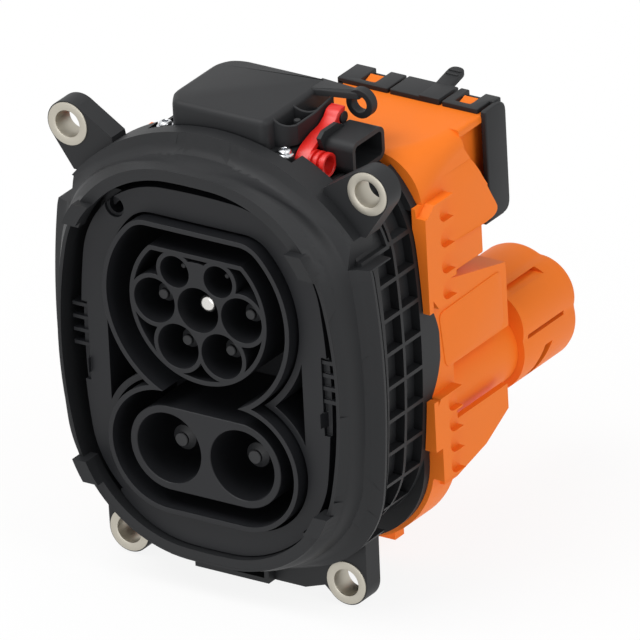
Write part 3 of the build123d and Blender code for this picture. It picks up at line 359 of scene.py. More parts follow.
def join_surfaces(parts):
    """Joins several surfaces (points, faces) to one."""
    points, faces, start = [], [], 0
    for part_points, part_faces in parts:
        points.append(np.asarray(part_points, float))
        faces += [[index + start for index in face] for face in part_faces]
        start += len(part_points)
    return np.concatenate(points), faces


# Solids of the frame with their moulded edges

# Nodes that keep their triangles, see merged_copy
UNEVEN_NODES = ("mid_housing",)
# Corners nearer than this, in metres, are one corner
MERGE_REACH = 2e-6
# Faces that bend less than the first angle become one, edges that bend more than the second are rounded
FLAT_DEG = 0.6
BEVEL_FROM_DEG = 38.0


def merged_copy(node):
    """A copy of a node's mesh with its loose triangles merged and its flat areas made single faces.

    Nodes whose bowed bands are nearly flat keep their triangles, so no band closes over a pocket.
    """
    mesh = NODES[node].data.copy()
    bm = bmesh.new()
    bm.from_mesh(mesh)
    bmesh.ops.remove_doubles(bm, verts=bm.verts, dist=MERGE_REACH)
    bmesh.ops.dissolve_degenerate(bm, edges=bm.edges, dist=MERGE_REACH)
    if node not in UNEVEN_NODES:
        bmesh.ops.dissolve_limit(bm, angle_limit=math.radians(FLAT_DEG), verts=bm.verts, edges=bm.edges)
    return mesh, bm


def carved(mesh, cutters):
    """A mesh with closed surfaces taken away from it."""
    tool = new_mesh("cutter", *join_surfaces(cutters))
    turn_outward(tool)
    holders = [bpy.data.objects.new("carving", data) for data in (mesh, tool)]
    for holder in holders:
        bpy.context.scene.collection.objects.link(holder)
    cut = holders[0].modifiers.new("cut", "BOOLEAN")
    cut.operation = "DIFFERENCE"
    cut.solver = "EXACT"
    cut.use_self = True
    cut.object = holders[1]
    shape = holders[0].evaluated_get(bpy.context.evaluated_depsgraph_get())
    result = bpy.data.meshes.new_from_object(shape)
    for holder in holders:
        bpy.data.objects.remove(holder)
    bpy.data.meshes.remove(tool)
    return result


def moulded(node, name, edge_mm, drop=None, reshape=None, cutters=()):
    """A node's solid with its sharp edges rounded, as a mould leaves them.

    drop is a test of the corners of a face in mm; faces that pass it are left to other pieces. reshape
    turns the copy's corners, an array in mm, into new ones, and cutters are closed surfaces to carve out.
    """
    mesh, bm = merged_copy(node)
    if drop is not None:
        gone = [f for f in bm.faces if drop(np.array([v.co / MM for v in f.verts]))]
        bmesh.ops.delete(bm, geom=gone, context="FACES")
    bm.to_mesh(mesh)
    bm.free()
    if reshape is not None:
        move_corners(mesh, reshape)
    if cutters:
        mesh = carved(mesh, cutters)
    obj = finish_piece(name, mesh, NODES[node]["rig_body"], SLOT_OF[node], MOULDED_SMOOTH)
    if edge_mm > 0:
        bevel = obj.modifiers.new("edge", "BEVEL")
        bevel.width = edge_mm * MM
        bevel.segments = 2
        bevel.limit_method = "ANGLE"
        bevel.angle_limit = math.radians(BEVEL_FROM_DEG)
        obj.modifiers.new("shading", "WEIGHTED_NORMAL").keep_sharp = True
    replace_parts(obj, node)


# Finishes

def to_linear(hex_colour):
    """Linear RGBA of an sRGB hex colour."""
    parts = [int(hex_colour[i:i + 2], 16) / 255 for i in (1, 3, 5)]
    linear = [p / 12.92 if p <= 0.04045 else ((p + 0.055) / 1.055) ** 2.4 for p in parts]
    return (*linear, 1.0)


def add_node(tree, kind, settings=None, links=None):
    """Adds a node, sets its values by name and links its inputs to other nodes' outputs."""
    node = tree.nodes.new(kind)
    for key, value in (settings or {}).items():
        if key in node.inputs:
            node.inputs[key].default_value = value
        else:
            setattr(node, key, value)
    for key, source in (links or {}).items():
        tree.links.new(source, node.inputs[key])
    return node

def mixed_shaders(tree, share, first, second):
    """A mix of two shaders: the first where share is 0, the second where it is 1."""
    return add_node(tree, "ShaderNodeMixShader", None, {"Fac": share, 1: first, 2: second}).outputs[0]


def start_material(name):
    """An empty material with its output and object coordinates."""
    material = bpy.data.materials.new(name)
    material.use_nodes = True
    tree = material.node_tree
    tree.nodes.clear()
    out = add_node(tree, "ShaderNodeOutputMaterial")
    place = add_node(tree, "ShaderNodeTexCoord")
    return material, tree, out, place.outputs["Object"]


# Size of the flow clouds in moulded plastic
CLOUD_MM = 18.0


def grain_bump(tree, height, strength, depth_mm):
    """The normal of a fine relief: its height is a noise, its depth is in mm."""
    return add_node(tree, "ShaderNodeBump", {"Strength": strength, "Distance": depth_mm * MM},
                    {"Height": height}).outputs["Normal"]


def moulded_plastic(name, colour, roughness, grain_mm, grain_depth, colour_shift=0.06, ior=1.5):
    """Injection-moulded plastic: an even colour with faint flow clouds and a fine eroded grain.

    Two noises drive it: clouds shift the colour by a share of it and the gloss a little, and the grain is
    a relief grain_depth deep, in mm.
    """
    material, tree, out, place = start_material(name)
    clouds = add_node(tree, "ShaderNodeTexNoise", {"Scale": 1.0 / (CLOUD_MM * MM), "Detail": 3.0},
                      {"Vector": place}).outputs["Fac"]
    base = add_node(tree, "ShaderNodeMix", {"data_type": "RGBA"}, {0: clouds})
    base.inputs[6].default_value = tuple(c * (1 - colour_shift) for c in colour[:3]) + (1.0,)
    base.inputs[7].default_value = tuple(min(1.0, c * (1 + colour_shift)) for c in colour[:3]) + (1.0,)
    grain = add_node(tree, "ShaderNodeTexNoise",
                     {"Scale": 1.0 / (grain_mm * MM), "Detail": 2.0, "Roughness": 0.6}, {"Vector": place})
    gloss = add_node(tree, "ShaderNodeMapRange", {"To Min": roughness - 0.05, "To Max": roughness + 0.06},
                     {"Value": clouds})
    shader = add_node(tree, "ShaderNodeBsdfPrincipled", {"IOR": ior},
                      {"Base Color": base.outputs[2], "Roughness": gloss.outputs["Result"],
                       "Normal": grain_bump(tree, grain.outputs["Fac"], 0.5, grain_depth)})
    tree.links.new(shader.outputs["BSDF"], out.inputs["Surface"])
    return material


def turned_metal(name, colour, roughness, mark_mm, mark_depth):
    """Turned or plated metal: one noise gives fine tool marks, mark_depth deep in mm, and uneven gloss."""
    material, tree, out, place = start_material(name)
    marks = add_node(tree, "ShaderNodeTexNoise", {"Scale": 1.0 / (mark_mm * MM), "Detail": 2.0},
                     {"Vector": place}).outputs["Fac"]
    gloss = add_node(tree, "ShaderNodeMapRange", {"To Min": roughness - 0.06, "To Max": roughness + 0.08},
                     {"Value": marks})
    shader = add_node(tree, "ShaderNodeBsdfPrincipled", {"Base Color": colour, "Metallic": 1.0},
                      {"Roughness": gloss.outputs["Result"],
                       "Normal": grain_bump(tree, marks, 0.4, mark_depth)})
    tree.links.new(shader.outputs["BSDF"], out.inputs["Surface"])
    return material


def finishes(sizes):
    """Every finish by its record slot: colour, roughness, grain size and depth, colour shift and IOR."""
    return {
        # Glass-filled polyamide with an eroded mould face: dull, with a fine sparkle
        "black_plastic": moulded_plastic("glass_filled_polyamide", sizes.black, 0.55, 0.5, 0.03, 0.06, 1.38),
        # The same resin from a polished mould: a little darker and smoother
        "black_insert": moulded_plastic("polyamide_satin", sizes.insert, 0.5, 0.6, 0.015, 0.06, 1.38),
        # Orange polyamide that marks high voltage: even, satin
        "orange_plastic": moulded_plastic("orange_polyamide", sizes.orange, 0.55, 0.6, 0.02, 0.04, 1.3),
        # Red acetal: smooth and a little glossy
        "red_plastic": moulded_plastic("red_acetal", sizes.red, 0.34, 0.8, 0.008, 0.03),
        # Black acetal of the touch guards: smooth, a little lighter than the housing
        "guard_plastic": moulded_plastic("black_acetal", to_linear("#232426"), 0.5, 0.8, 0.008),
        # Natural acetal of the worm wheel: off-white and smooth
        "white_gear": moulded_plastic("natural_acetal", to_linear("#dedbd2"), 0.4, 0.8, 0.008, 0.02),
        # Silicone of gaskets and seals: dull, dark grey
        "seal_rubber": moulded_plastic("silicone_seal", to_linear("#2a2b2d"), 0.6, 0.7, 0.02),
        # Nickel-plated steel of the lug sleeves: warm grey, fine turning marks
        "bushing_metal": turned_metal("nickel_plated_steel", to_linear("#b9b4a8"), 0.46, 0.35, 0.004),
        # Zinc-plated steel of the screws: bright
        "zinc_steel": turned_metal("zinc_plated_steel", to_linear("#d3d5d8"), 0.22, 0.4, 0.003),
        # Silver-plated copper of the contacts: bright and smooth
        "silver_contact": turned_metal("silver_plated_copper", to_linear("#dcdad6"), 0.2, 0.4, 0.002),
        # Bare copper of the busbars: rolled, satin
        "copper": turned_metal("bare_copper", to_linear("#c47a55"), 0.32, 0.5, 0.004),
        # Green solder mask of the sensor board
        "board": moulded_plastic("solder_mask", to_linear("#1f5a34"), 0.35, 1.2, 0.004),
    }


# Pieces

def collar_profile():
    """Depths and outlines of the collar's outside: rounded rim, bulged wall, crease, hollow and flare."""
    depths, outlines = [], []
    for turn in np.linspace(0.0, 1.0, 5) * math.pi / 2:
        depths.append(RIM_Y - SKIN_LIFT + RIM_ROUND * (1 - math.cos(turn)))
        outlines.append(bowed_outline(grown(COLLAR_RIM, -RIM_ROUND * (1 - math.sin(turn)))))
    wall_y, flare_y = RIM_Y + RIM_ROUND, (CREASE_Y, HOLLOW_Y, FLARE_Y)
    for places, shapes, rows in (((wall_y, BULGE_Y, CREASE_Y), (COLLAR_RIM, COLLAR_BULGE, COLLAR_CREASE), 13),
                                 (flare_y, (COLLAR_CREASE, COLLAR_HOLLOW, COLLAR_FLARE), 11)):
        at = np.linspace(places[0], places[-1], rows)
        between = smooth_between(places, [bowed_outline(shape) for shape in shapes], at)
        depths += at[1:].tolist()
        outlines += list(between[1:])
    half = 0.5 * (FLARE_BACK_Y - FLARE_Y)
    for turn in np.linspace(0.25, 1.0, 4) * math.pi / 2:
        depths.append(FLARE_BACK_Y - half + (half + SKIN_LIFT) * math.sin(turn))
        outlines.append(bowed_outline(grown(COLLAR_FLARE, -FLARE_ROUND * (1 - math.cos(turn)))))
    return np.array(depths), np.array(outlines)


# A face of the collar's wall reaches further than this along Y, and its corners lie this near to a
# known depth and this near to the outline there
WALL_REACH = 0.3
DEPTH_MATCH = 0.05
OUTLINE_MATCH = 0.9


def build_collar(sizes):
    """The collar's outside skin over the front housing, which keeps its lip, tabs, lugs and flange.

    The skin is one grid: round the bowed outline one way, along the collar's profile the other.
    """
    rings = [at_depth(outline, depth) for depth, outline in zip(*collar_profile())]
    mesh = new_mesh("collar_skin", *skin(np.array(rings), flip=True))
    notch_out(mesh)
    finish_piece("collar_skin", mesh, "inlet", "black_plastic", COLLAR_SMOOTH)

    places = np.array([RIM_Y, BULGE_Y, CREASE_Y, HOLLOW_Y, FLARE_Y, FLARE_BACK_Y])
    shapes = (COLLAR_RIM, COLLAR_BULGE, COLLAR_CREASE, COLLAR_HOLLOW, COLLAR_FLARE, COLLAR_FLARE)
    outside = [bowed_outline(shape, 60) for shape in shapes]

    def under_skin(corners):
        """True for a wall face of the copy: each corner lies on one of the known outlines."""
        if np.ptp(corners[:, 1]) < WALL_REACH:
            return False
        for x, y, z in corners:
            index = int(np.argmin(np.abs(places - y)))
            away = np.hypot(outside[index][:, 0] - x, outside[index][:, 1] - z)
            if abs(places[index] - y) > DEPTH_MATCH or away.min() > OUTLINE_MATCH:
                return False
        return True

    moulded("front_housing", "front_flange", sizes.edge_mm, under_skin)


def notch_out(mesh):
    """Cuts the two bracket notches out of the collar's skin."""
    bm = bmesh.new()
    bm.from_mesh(mesh)
    cuts = [((0, 0, z), (0, 0, 1)) for z in BRACKET_Z]
    cuts += [((x, 0, 0), (1, 0, 0)) for x in (-BRACKET_X, BRACKET_X)]
    for place, normal in cuts:
        whole = bm.verts[:] + bm.edges[:] + bm.faces[:]
        bmesh.ops.bisect_plane(bm, geom=whole, dist=1e-7, plane_co=Vector(place) * MM, plane_no=normal)
    gone = []
    for face in bm.faces:
        middle = face.calc_center_median() / MM
        if abs(middle.x) > BRACKET_X and BRACKET_Z[0] < middle.z < BRACKET_Z[1]:
            gone.append(face)
    bmesh.ops.delete(bm, geom=gone, context="FACES")
    bm.to_mesh(mesh)
    bm.free()


def build_bushings():
    """Four turned sleeves with a flat head and a slightly rounded mouth, in the lugs."""
    head_r, sleeve_r, bore, back = 7.15, 5.9, 4.35, 22.0
    front = FLANGE_Y - 0.4
    profile = [(bore, back), (bore, front + 0.5), (bore + 0.15, front + 0.15), (bore + 0.5, front),
               (head_r - 0.3, front), (head_r - 0.08, front + 0.08), (head_r, front + 0.3),
               (head_r, front + 1.2), (sleeve_r, front + 1.2), (sleeve_r, back), (bore, back)]
    put_piece("bushing_sleeves", [turned_surface(profile, (x, 0.0, z), 64) for x, z in LUGS],
              "bushing_metal", "lug_bushings", smooth_deg=SLEEVE_SMOOTH)


# Live contacts in the plug face, X and Z, with the radius of their pins and the depth of their tips
AC_PINS = ((-16.0, 0.0), (16.0, 0.0), (-8.0, -13.9), (8.0, -13.9))
PILOT_PINS = ((-8.0, 11.3), (8.0, 11.3))
DC_PINS = ((-13.5, -49.7), (13.5, -49.7))
AC_PIN_R, PILOT_PIN_R, DC_PIN_R = 3.0, 1.5, 4.0
AC_TIP_Y, DC_TIP_Y = 4.9, 6.8
GUARD_FRONT_Y = 13.0
GUARD_BACK_Y = 24.0
# The nose of a guard and its shoulder as shares of the pin's radius; the neck and the skirt's wall in mm
NOSE_SHARE = 0.58
SHOULDER_SHARE = 0.336
NECK_LENGTH = 2.2
NOSE_CHAMFER = 0.25
SKIRT_CLEAR = 0.06
SKIRT_WALL = 0.3


def guard_surface(x, z, radius, tip_y):
    """A touch guard: a profile turned about the pin, with a chamfered nose, a straight neck and a skirt."""
    nose = radius * NOSE_SHARE
    shoulder = tip_y + NECK_LENGTH - radius * SHOULDER_SHARE
    skirt = radius + SKIRT_CLEAR
    profile = [(1e-3, tip_y), (nose - NOSE_CHAMFER, tip_y), (nose, tip_y + NOSE_CHAMFER), (nose, shoulder),
               (skirt, shoulder + radius * SHOULDER_SHARE), (skirt, GUARD_BACK_Y),
               (radius - SKIRT_WALL, GUARD_BACK_Y)]
    return turned_surface(profile, (x, 0.0, z), 40)


def build_guards():
    """Touch guards over the noses of the live contacts."""
    ac = [guard_surface(x, z, AC_PIN_R, AC_TIP_Y) for x, z in AC_PINS]
    ac += [guard_surface(x, z, PILOT_PIN_R, AC_TIP_Y) for x, z in PILOT_PINS]
    dc = [guard_surface(x, z, DC_PIN_R, DC_TIP_Y) for x, z in DC_PINS]
    for name, node, parts in (("ac_guards", "ac_pin_caps", ac), ("dc_guards", "dc_pin_caps", dc)):
        put_piece(name, parts, "guard_plastic", node, smooth_deg=GUARD_SMOOTH)


COVER_FRONT_Y = 84.6
COVER_BACK_Y = 95.8
COVER_TOP = 43.7
NECK_TOP = 42.0
# The pull tab rises by this slope behind this depth
TAB_SLOPE = 0.25
TAB_BEND_Y = 95.2


def build_cover():
    """The rear cover: three top plates with open windows, side plates, back wall and the pull tab."""
    front, back, top = COVER_FRONT_Y, COVER_BACK_Y, COVER_TOP
    low = NECK_TOP + 0.1
    side_wall = rounded_outline([(front, 6.2), (back, 6.2), (back, top - 0.2), (front, top - 0.4)],
                                (1.0, 4.0, 4.0, 0.8))

    def top_plate(corners):
        """A thin plate between the neck and the cover's top."""
        return plate(rounded_outline(corners, 0.5, 3), low, top, 0.35, "Z")

    parts = [
        top_plate([(-2.3, front), (16.2, front), (16.2, back), (10.3, back), (10.3, 86.8), (5.0, 86.8),
                   (5.0, back), (-2.3, back)]),
        top_plate([(17.0, front), (35.2, front), (35.2, back), (17.0, back)]),
        top_plate([(36.1, front), (49.2, front), (49.2, 91.8), (50.7, 91.8), (50.7, back), (45.1, back),
                   (45.1, 87.2), (39.3, 87.2), (39.3, back), (36.1, back)]),
        plate(side_wall, 50.5, 52.3, 0.5, "X"),
        plate(side_wall, -0.4, -2.3, 0.5, "X"),
        plate(rounded_outline([(-0.4, 6.4), (50.6, 6.4), (50.6, low), (-0.4, low)], (1.0, 1.0, 0.2, 0.2)),
              94.6, back, 0.4, "Y"),
        plate(rounded_outline([(-0.6, front), (50.6, front), (50.6, 94.8), (-0.6, 94.8)], 0.3, 3),
              5.9, 4.8, 0.3, "Z"),
    ]
    strip = plate(rounded_outline([(27.7, front), (35.1, front), (35.1, 94.0), (33.1, 95.6), (27.7, 95.6)],
                                  0.4, 3), top - 0.2, top + 0.35, 0.2, "Z")
    arm = plate(rounded_outline([(27.3, 94.4), (33.1, 94.4), (33.1, 103.9), (27.3, 103.9)],
                                (0.5, 0.5, 3.4, 3.4), 8), top - 1.1, top + 0.45, 0.45, "Z")
    ridges = [plate(rounded_outline([(27.9, y), (32.5, y), (32.5, y + 0.7), (27.9, y + 0.7)], 0.3, 4),
                    top, top + 0.85, 0.25, "Z") for y in (99.4, 101.2)]
    points, faces = join_surfaces([arm, *ridges])
    points[:, 2] += TAB_SLOPE * np.clip(points[:, 1] - TAB_BEND_Y, 0.0, None)
    put_piece("rear_cover_plates", parts + [strip, (points, faces)], SLOT_OF["rear_cover"], "rear_cover")


# Snap noses of the neck: the solid's middle and the window's middle, X
NOSES = ((8.7, 7.7), (41.3, 42.2))
NOSE_HALF = 3.75
NOSE_Y = (88.95, 94.05)
NOSE_WIDTH_SHARE = 0.68
NOSE_HEIGHT_SHARE = 0.55
NOSE_FORWARD = 1.8


def lowered_noses(points):
    """Makes the snap noses on the neck flatter and narrower and moves them into the cover's windows."""
    points = points.copy()
    for middle, place in NOSES:
        hit = ((points[:, 2] > NECK_TOP - 0.01) & (np.abs(points[:, 0] - middle) < NOSE_HALF)
               & (points[:, 1] > NOSE_Y[0]) & (points[:, 1] < NOSE_Y[1]))
        points[hit, 0] = place + (points[hit, 0] - middle) * NOSE_WIDTH_SHARE
        points[hit, 1] -= NOSE_FORWARD
        points[hit, 2] = NECK_TOP + (points[hit, 2] - NECK_TOP) * NOSE_HEIGHT_SHARE
    return points


HOOD_SIDE_X = 52.0
# The radius of the hood's top right corner goes from the first value to the second between two depths
CORNER_RADII = (18.0, 6.0)
CORNER_Y = (46.0, 72.5)
CUTTER_Y = (38.0, 73.0)


def corner_cutter():
    """What the hood's top right corner loses: its radius is large in front and small at the back.

    Rings of a quarter turn from the top to the side, each closed by a square outside the corner.
    """
    right, top, beyond = HOOD_SIDE_X, NECK_TOP, 4.0
    turn = np.linspace(math.pi / 2, 0.0, 17)
    rings = []
    for y in np.linspace(*CUTTER_Y, 19):
        share = np.clip((y - CORNER_Y[0]) / (CORNER_Y[1] - CORNER_Y[0]), 0.0, 1.0)
        radius = CORNER_RADII[0] + (CORNER_RADII[1] - CORNER_RADII[0]) * share * (2 - share)
        arc = arc_points(right - radius, top - radius, radius, turn)
        outer = [(right + beyond, top - radius), (right + beyond, top + beyond),
                 (right - radius, top + beyond)]
        rings.append(at_depth(np.concatenate([arc, outer]), y))
    points, faces = skin(rings)
    count, last = len(rings[0]), len(points)
    return points, faces + [list(range(count - 1, -1, -1)), list(range(last - count, last))]


# Back edge of the hood's side wall, Z and Y, from the top down
HOOD_BACK = ((42.0, 70.6), (37.5, 71.5), (32.3, 75.0), (25.9, 78.9), (17.0, 83.8), (12.6, 86.4), (10.6, 87.2),
             (9.2, 86.6), (8.4, 84.6), (8.1, 81.0))
HOOD_WALL_Y = 58.0
HOOD_WALL_TOP = 31.5
HOOD_SWELL = 1.25
HOOD_FADE = 8.0
BLOCK_PANEL = ((54.0, -12.3), (56.6, -32.0), (89.0, -31.0), (88.8, -11.6))


def build_hood(sizes):
    """The rear housing with the full side wall of its hood, its shoulder and the panels of its side blocks.

    The hood's side wall swells out by a smoothed step along Y, and its back edge follows HOOD_BACK.
    """
    moulded("rear_housing", "rear_housing_moulded", sizes.edge_mm, reshape=lowered_noses,
            cutters=[corner_cutter()])
    edge = smooth_path(HOOD_BACK, 4)
    z = np.minimum(edge[:, 0], HOOD_WALL_TOP)
    fade = np.clip((HOOD_WALL_TOP + 0.1 - z) / HOOD_FADE, 0.0, 1.0)
    share = np.linspace(0.0, 1.0, 24)
    swell = share ** 2 * (3 - 2 * share)
    rings = []
    for part, lift in zip(share, swell):
        x = HOOD_SIDE_X + 0.02 + HOOD_SWELL * lift * fade * (2 - fade)
        rings.append(np.stack([x, HOOD_WALL_Y + (edge[:, 1] - HOOD_WALL_Y) * part, z], axis=-1))
    back_x = rings[-1][:, 0]
    for depth, inset in ((0.25, 0.1), (0.6, 0.35), (3.4, 0.4)):
        rings.append(np.stack([back_x - depth, edge[:, 1] + inset, z], axis=-1))
    wall = skin(rings, wrap=False)
    shoulder = plate(rounded_outline([(46.9, 39.4), (50.6, 39.4), (50.6, 41.99), (46.9, 41.99)],
                                     (0.1, 0.3, 2.4, 0.1)), 72.0, 93.6, 0.2, "Y")
    panels = [plate(rounded_outline(BLOCK_PANEL, 3.0), side * 50.0, side * 52.35, 0.3, "X")
              for side in (-1, 1)]
    web = plate(rounded_outline([(36.0, -3.4), (50.6, -3.4), (50.6, 8.4), (36.0, 8.4)], 0.6),
                HOOD_WALL_Y, 82.4, 0.6, "Y")
    put_piece("hood_wall", [wall, shoulder, web, *panels], SLOT_OF["rear_housing"])


# Circles that bound a cable cap: X and Z of the middle, and the radius
CAP_CIRCLES = ((35.0, -45.5, 16.4), (31.3, -40.9, 16.5), (39.5, -38.2, 11.9))
CAP_MIDDLE = (35.0, -43.0)
CAP_Y = (101.0, 131.5)
DUCT_MIDDLE = (35.0, -45.5)
DUCT_R = 14.06
CABLE_R = 9.0
CAP_WALL = 2.0
CAP_SLITS = ((40.0, 48.0, 104.5, 122.0, -28.1, -26.6), (47.0, 53.0, 103.8, 124.0, -41.9, -40.4))
CAP_WINDOW = (42.0, 54.0, 112.9, 116.9, -58.0, -47.6)
WINDOW_SLANT = 0.57


def cap_outline(shrink=0.0, count=120):
    """Outline of a cable cap: the farthest of three circles in each direction from the duct's middle."""
    turn = np.linspace(0.0, 2 * math.pi, count, endpoint=False)
    way = arc_points(0.0, 0.0, 1.0, turn)
    start = np.array(CAP_MIDDLE)
    reach = np.zeros(count)
    for x, z, radius in CAP_CIRCLES:
        gap = np.array([x, z]) - start
        along = way @ gap
        reach = np.maximum(reach, along + np.sqrt((radius - shrink) ** 2 - gap @ gap + along ** 2))
    return start + way * reach[:, None]


def build_caps():
    """Cable caps: hollow shells with an opening for the cable, two clip slits and a slanted side window."""
    front, back = CAP_Y
    circle = arc_points(0.0, 0.0, 1.0, np.linspace(0.0, 2 * math.pi, 48, endpoint=False))
    window = box_surface(*CAP_WINDOW)
    window[0][:, 1] += WINDOW_SLANT * (window[0][:, 2] - CAP_WINDOW[5])
    tools = [plate(circle * DUCT_R + DUCT_MIDDLE, front - 1, front + 7, 0.0, "Y"),
             plate(cap_outline(CAP_WALL), front + 6, back - 2.4, 0.0, "Y"),
             plate(circle * CABLE_R + DUCT_MIDDLE, back - 3, back + 1, 0.0, "Y"),
             *(box_surface(*slit) for slit in CAP_SLITS), window]
    for node in ("cable_cap_minus", "cable_cap_plus"):
        side = math.copysign(1.0, NODES[node].bound_box[0][0] + NODES[node].bound_box[6][0])
        mesh = new_mesh(node + "_shell", *plate(cap_outline(), front, back, 2.2, "Y"))
        for tool in tools:
            mesh = carved(mesh, [tool])
        move_corners(mesh, lambda points: points * (side, 1.0, 1.0))
        if side < 0:
            mesh.flip_normals()
        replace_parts(finish_piece(node + "_shell", mesh, "inlet", SLOT_OF["cable_cap_plus"]), node)


ACTUATOR_TOP = 60.0
ACTUATOR_SPLIT = 50.0
# How far the top edges of a fence are cut back
FENCE_CHAMFER = 0.25
# The catch that the lever's clip grips, Y and Z
CATCH = (43.6, 53.3)


def fence(path, tops, low, thick):
    """Closed upright wall along a path in X and Y, as high as tops at each point."""
    path, tops = np.asarray(path, float), np.asarray(tops, float)
    ahead = np.gradient(path, axis=0)
    ahead /= np.hypot(ahead[:, 0], ahead[:, 1])[:, None]
    out = np.stack([-ahead[:, 1], ahead[:, 0]], axis=-1) * thick / 2
    eaves = tops - FENCE_CHAMFER
    section = ((1.0, low), (1.0, eaves), (0.6, tops), (-0.6, tops), (-1.0, eaves), (-1.0, low))
    rings = np.stack([np.column_stack([path + out * side, np.broadcast_to(height, len(path))])
                      for side, height in section], axis=1)
    points, faces = skin(rings)
    count, last = len(section), len(points)
    return points, faces + [list(range(count)), list(range(last - 1, last - count - 1, -1))]


def build_actuator():
    """The lock actuator's cover: a bevelled lid, a side ledge with two fenced pockets, eyelet and catch."""
    top, split = ACTUATOR_TOP, ACTUATOR_SPLIT
    lid = plate(rounded_outline([(-17.4, 17.0), (16.9, 17.0), (16.9, 53.2), (-14.0, 53.2), (-18.6, 51.4),
                                 (-21.3, 46.6), (-21.3, 23.4)], (2.0, 3.2, 1.5, 3.0, 3.0, 4.0, 2.0)),
                split, top, 1.9, "Z")
    ledge = plate(rounded_outline([(16.0, 23.8), (19.6, 23.8), (22.4, 27.0), (22.4, 46.0), (16.0, 46.0)],
                                  0.5), split, 53.4, 0.3, "Z")
    arm = plate(rounded_outline([(14.0, 44.0), (19.6, 45.6), (27.0, 47.4), (30.4, 48.3), (30.4, 51.4),
                                 (14.0, 53.0)], (0.5, 5.0, 3.0, 0.5, 0.5, 0.5)),
                top - 2.2, top - 0.05, 0.5, "Z")
    fences = []
    for path in (((16.4, 22.0), (18.4, 22.5), (20.4, 24.0), (22.0, 26.6)),
                 ((16.4, 33.0), (18.8, 33.9), (20.8, 36.0), (22.0, 39.4))):
        curve = smooth_path(path, 5)
        share = np.linspace(0.0, 1.0, len(curve))
        fences.append(fence(curve, 59.4 - 2.8 * share * (2 - share), split, 0.9))
    ridge = np.linspace((22.0, 26.3), (22.0, 46.4), 3)
    fences.append(fence(ridge, np.array([56.7, 56.7, 58.2]), split, 0.9))
    boss = turned_surface([(1e-3, 53.0), (1.1, 53.0), (1.1, 56.9), (0.9, 57.1), (1e-3, 57.1)],
                          (20.6, 28.8, 0.0), 24, "Z")
    ring = turned_surface([(2.7, 48.4), (2.9, 48.2), (4.6, 48.2), (4.79, 48.4), (4.79, 51.3), (4.6, 51.5),
                           (2.9, 51.5), (2.7, 51.3), (2.7, 48.4)], (30.4, 0.0, 56.3), 48)
    catch = turned_surface([(1e-3, 19.0), (2.0, 19.0), (2.0, 27.9), (1.8, 28.1), (1e-3, 28.1)],
                           (0.0, *CATCH), 32, "X")
    put_piece("actuator_lid", [lid, ledge, arm, *fences, boss, ring, catch], SLOT_OF["actuator_cover"],
              "actuator_cover")


# The signal pins end here, inside the connector's mouth, X
SIGNAL_PIN_END = 32.0


def build_connector_pins():
    """The signal pins, kept in the shade of the connector's mouth."""
    def drawn_in(points):
        """Corners further out than the pins' end go back to it."""
        return np.minimum(points, (SIGNAL_PIN_END, np.inf, np.inf))

    moulded("connector_pins", "connector_pins_plated", 0.0, reshape=drawn_in)


# The lever's strap: its sides in X, and its middle line and the spool's axis in Y and Z
LEVER_X = (23.0, 27.8)
LEVER_PATH = ((22.8, 43.6), (22.5, 44.8), (23.4, 46.6), (26.2, 49.0), (31.6, 51.0), (36.4, 51.9),
              (39.6, 53.6), (41.6, 55.5), (44.2, 56.0))
STRAP_THICK = 1.7
SPOOL = (26.5, 45.3)
JAW_R = 2.85
JAW_THICK = 1.3


def build_lever():
    """The release lever: a curved strap, a hollow spool with flanges and a clip with two jaws."""
    strap = swept_band(smooth_path(LEVER_PATH), *LEVER_X, STRAP_THICK)
    ring = arc_points(*CATCH, JAW_R, np.radians(np.linspace(70.0, 285.0, 28)))
    jaw = swept_band(ring, LEVER_X[0] + 0.1, LEVER_X[1] - 0.1, JAW_THICK)
    profile = [(1.6, 23.0), (3.9, 23.0), (4.0, 23.2), (4.0, 28.2), (3.8, 28.4), (3.0, 28.5), (3.0, 29.4),
               (3.8, 29.5), (3.95, 29.7), (3.95, 30.5), (3.8, 30.7), (3.0, 30.8), (3.0, 31.7), (3.8, 31.8),
               (3.95, 32.0), (3.95, 33.2), (3.75, 33.4), (3.0, 33.4), (2.85, 33.2), (2.8, 29.0), (1.6, 29.0),
               (1.6, 23.0)]
    spool = turned_surface(profile, (0.0, *SPOOL), 48, "X")
    put_piece("lever_strap", [strap, jaw, spool], SLOT_OF["release_lever"], "release_lever",
              NODES["release_lever"]["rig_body"])
    profile = [(1e-3, 20.1), (1.5, 20.1), (1.5, 29.6), (1.3, 29.8), (1e-3, 29.8)]
    put_piece("lever_pivot_pin", [turned_surface(profile, (0.0, *SPOOL), 32, "X")], SLOT_OF["lever_pin"],
              "lever_pin", NODES["lever_pin"]["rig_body"])


SCREWS = ((-21.9, 19.4), (21.9, 19.4))
SCREW_SEAT_Z = 49.2


def build_screws():
    """Two pan-head screws with a washer flange, a domed head and a round drive recess."""
    profile = [(1e-3, -7.0), (1.2, -7.0), (1.58, -6.6), (1.58, 0.0), (2.7, 0.0), (2.8, 0.15), (2.75, 0.5),
               (2.3, 0.75), (2.05, 0.8), (2.05, 1.5), (1.85, 1.9), (1.4, 2.15), (1.05, 2.2), (0.95, 2.1),
               (0.9, 1.0), (1e-3, 0.9)]
    put_piece("pan_head_screws", [turned_surface(profile, (x, y, SCREW_SEAT_Z), 48, "Z") for x, y in SCREWS],
              SLOT_OF["actuator_screws"], "actuator_screws")


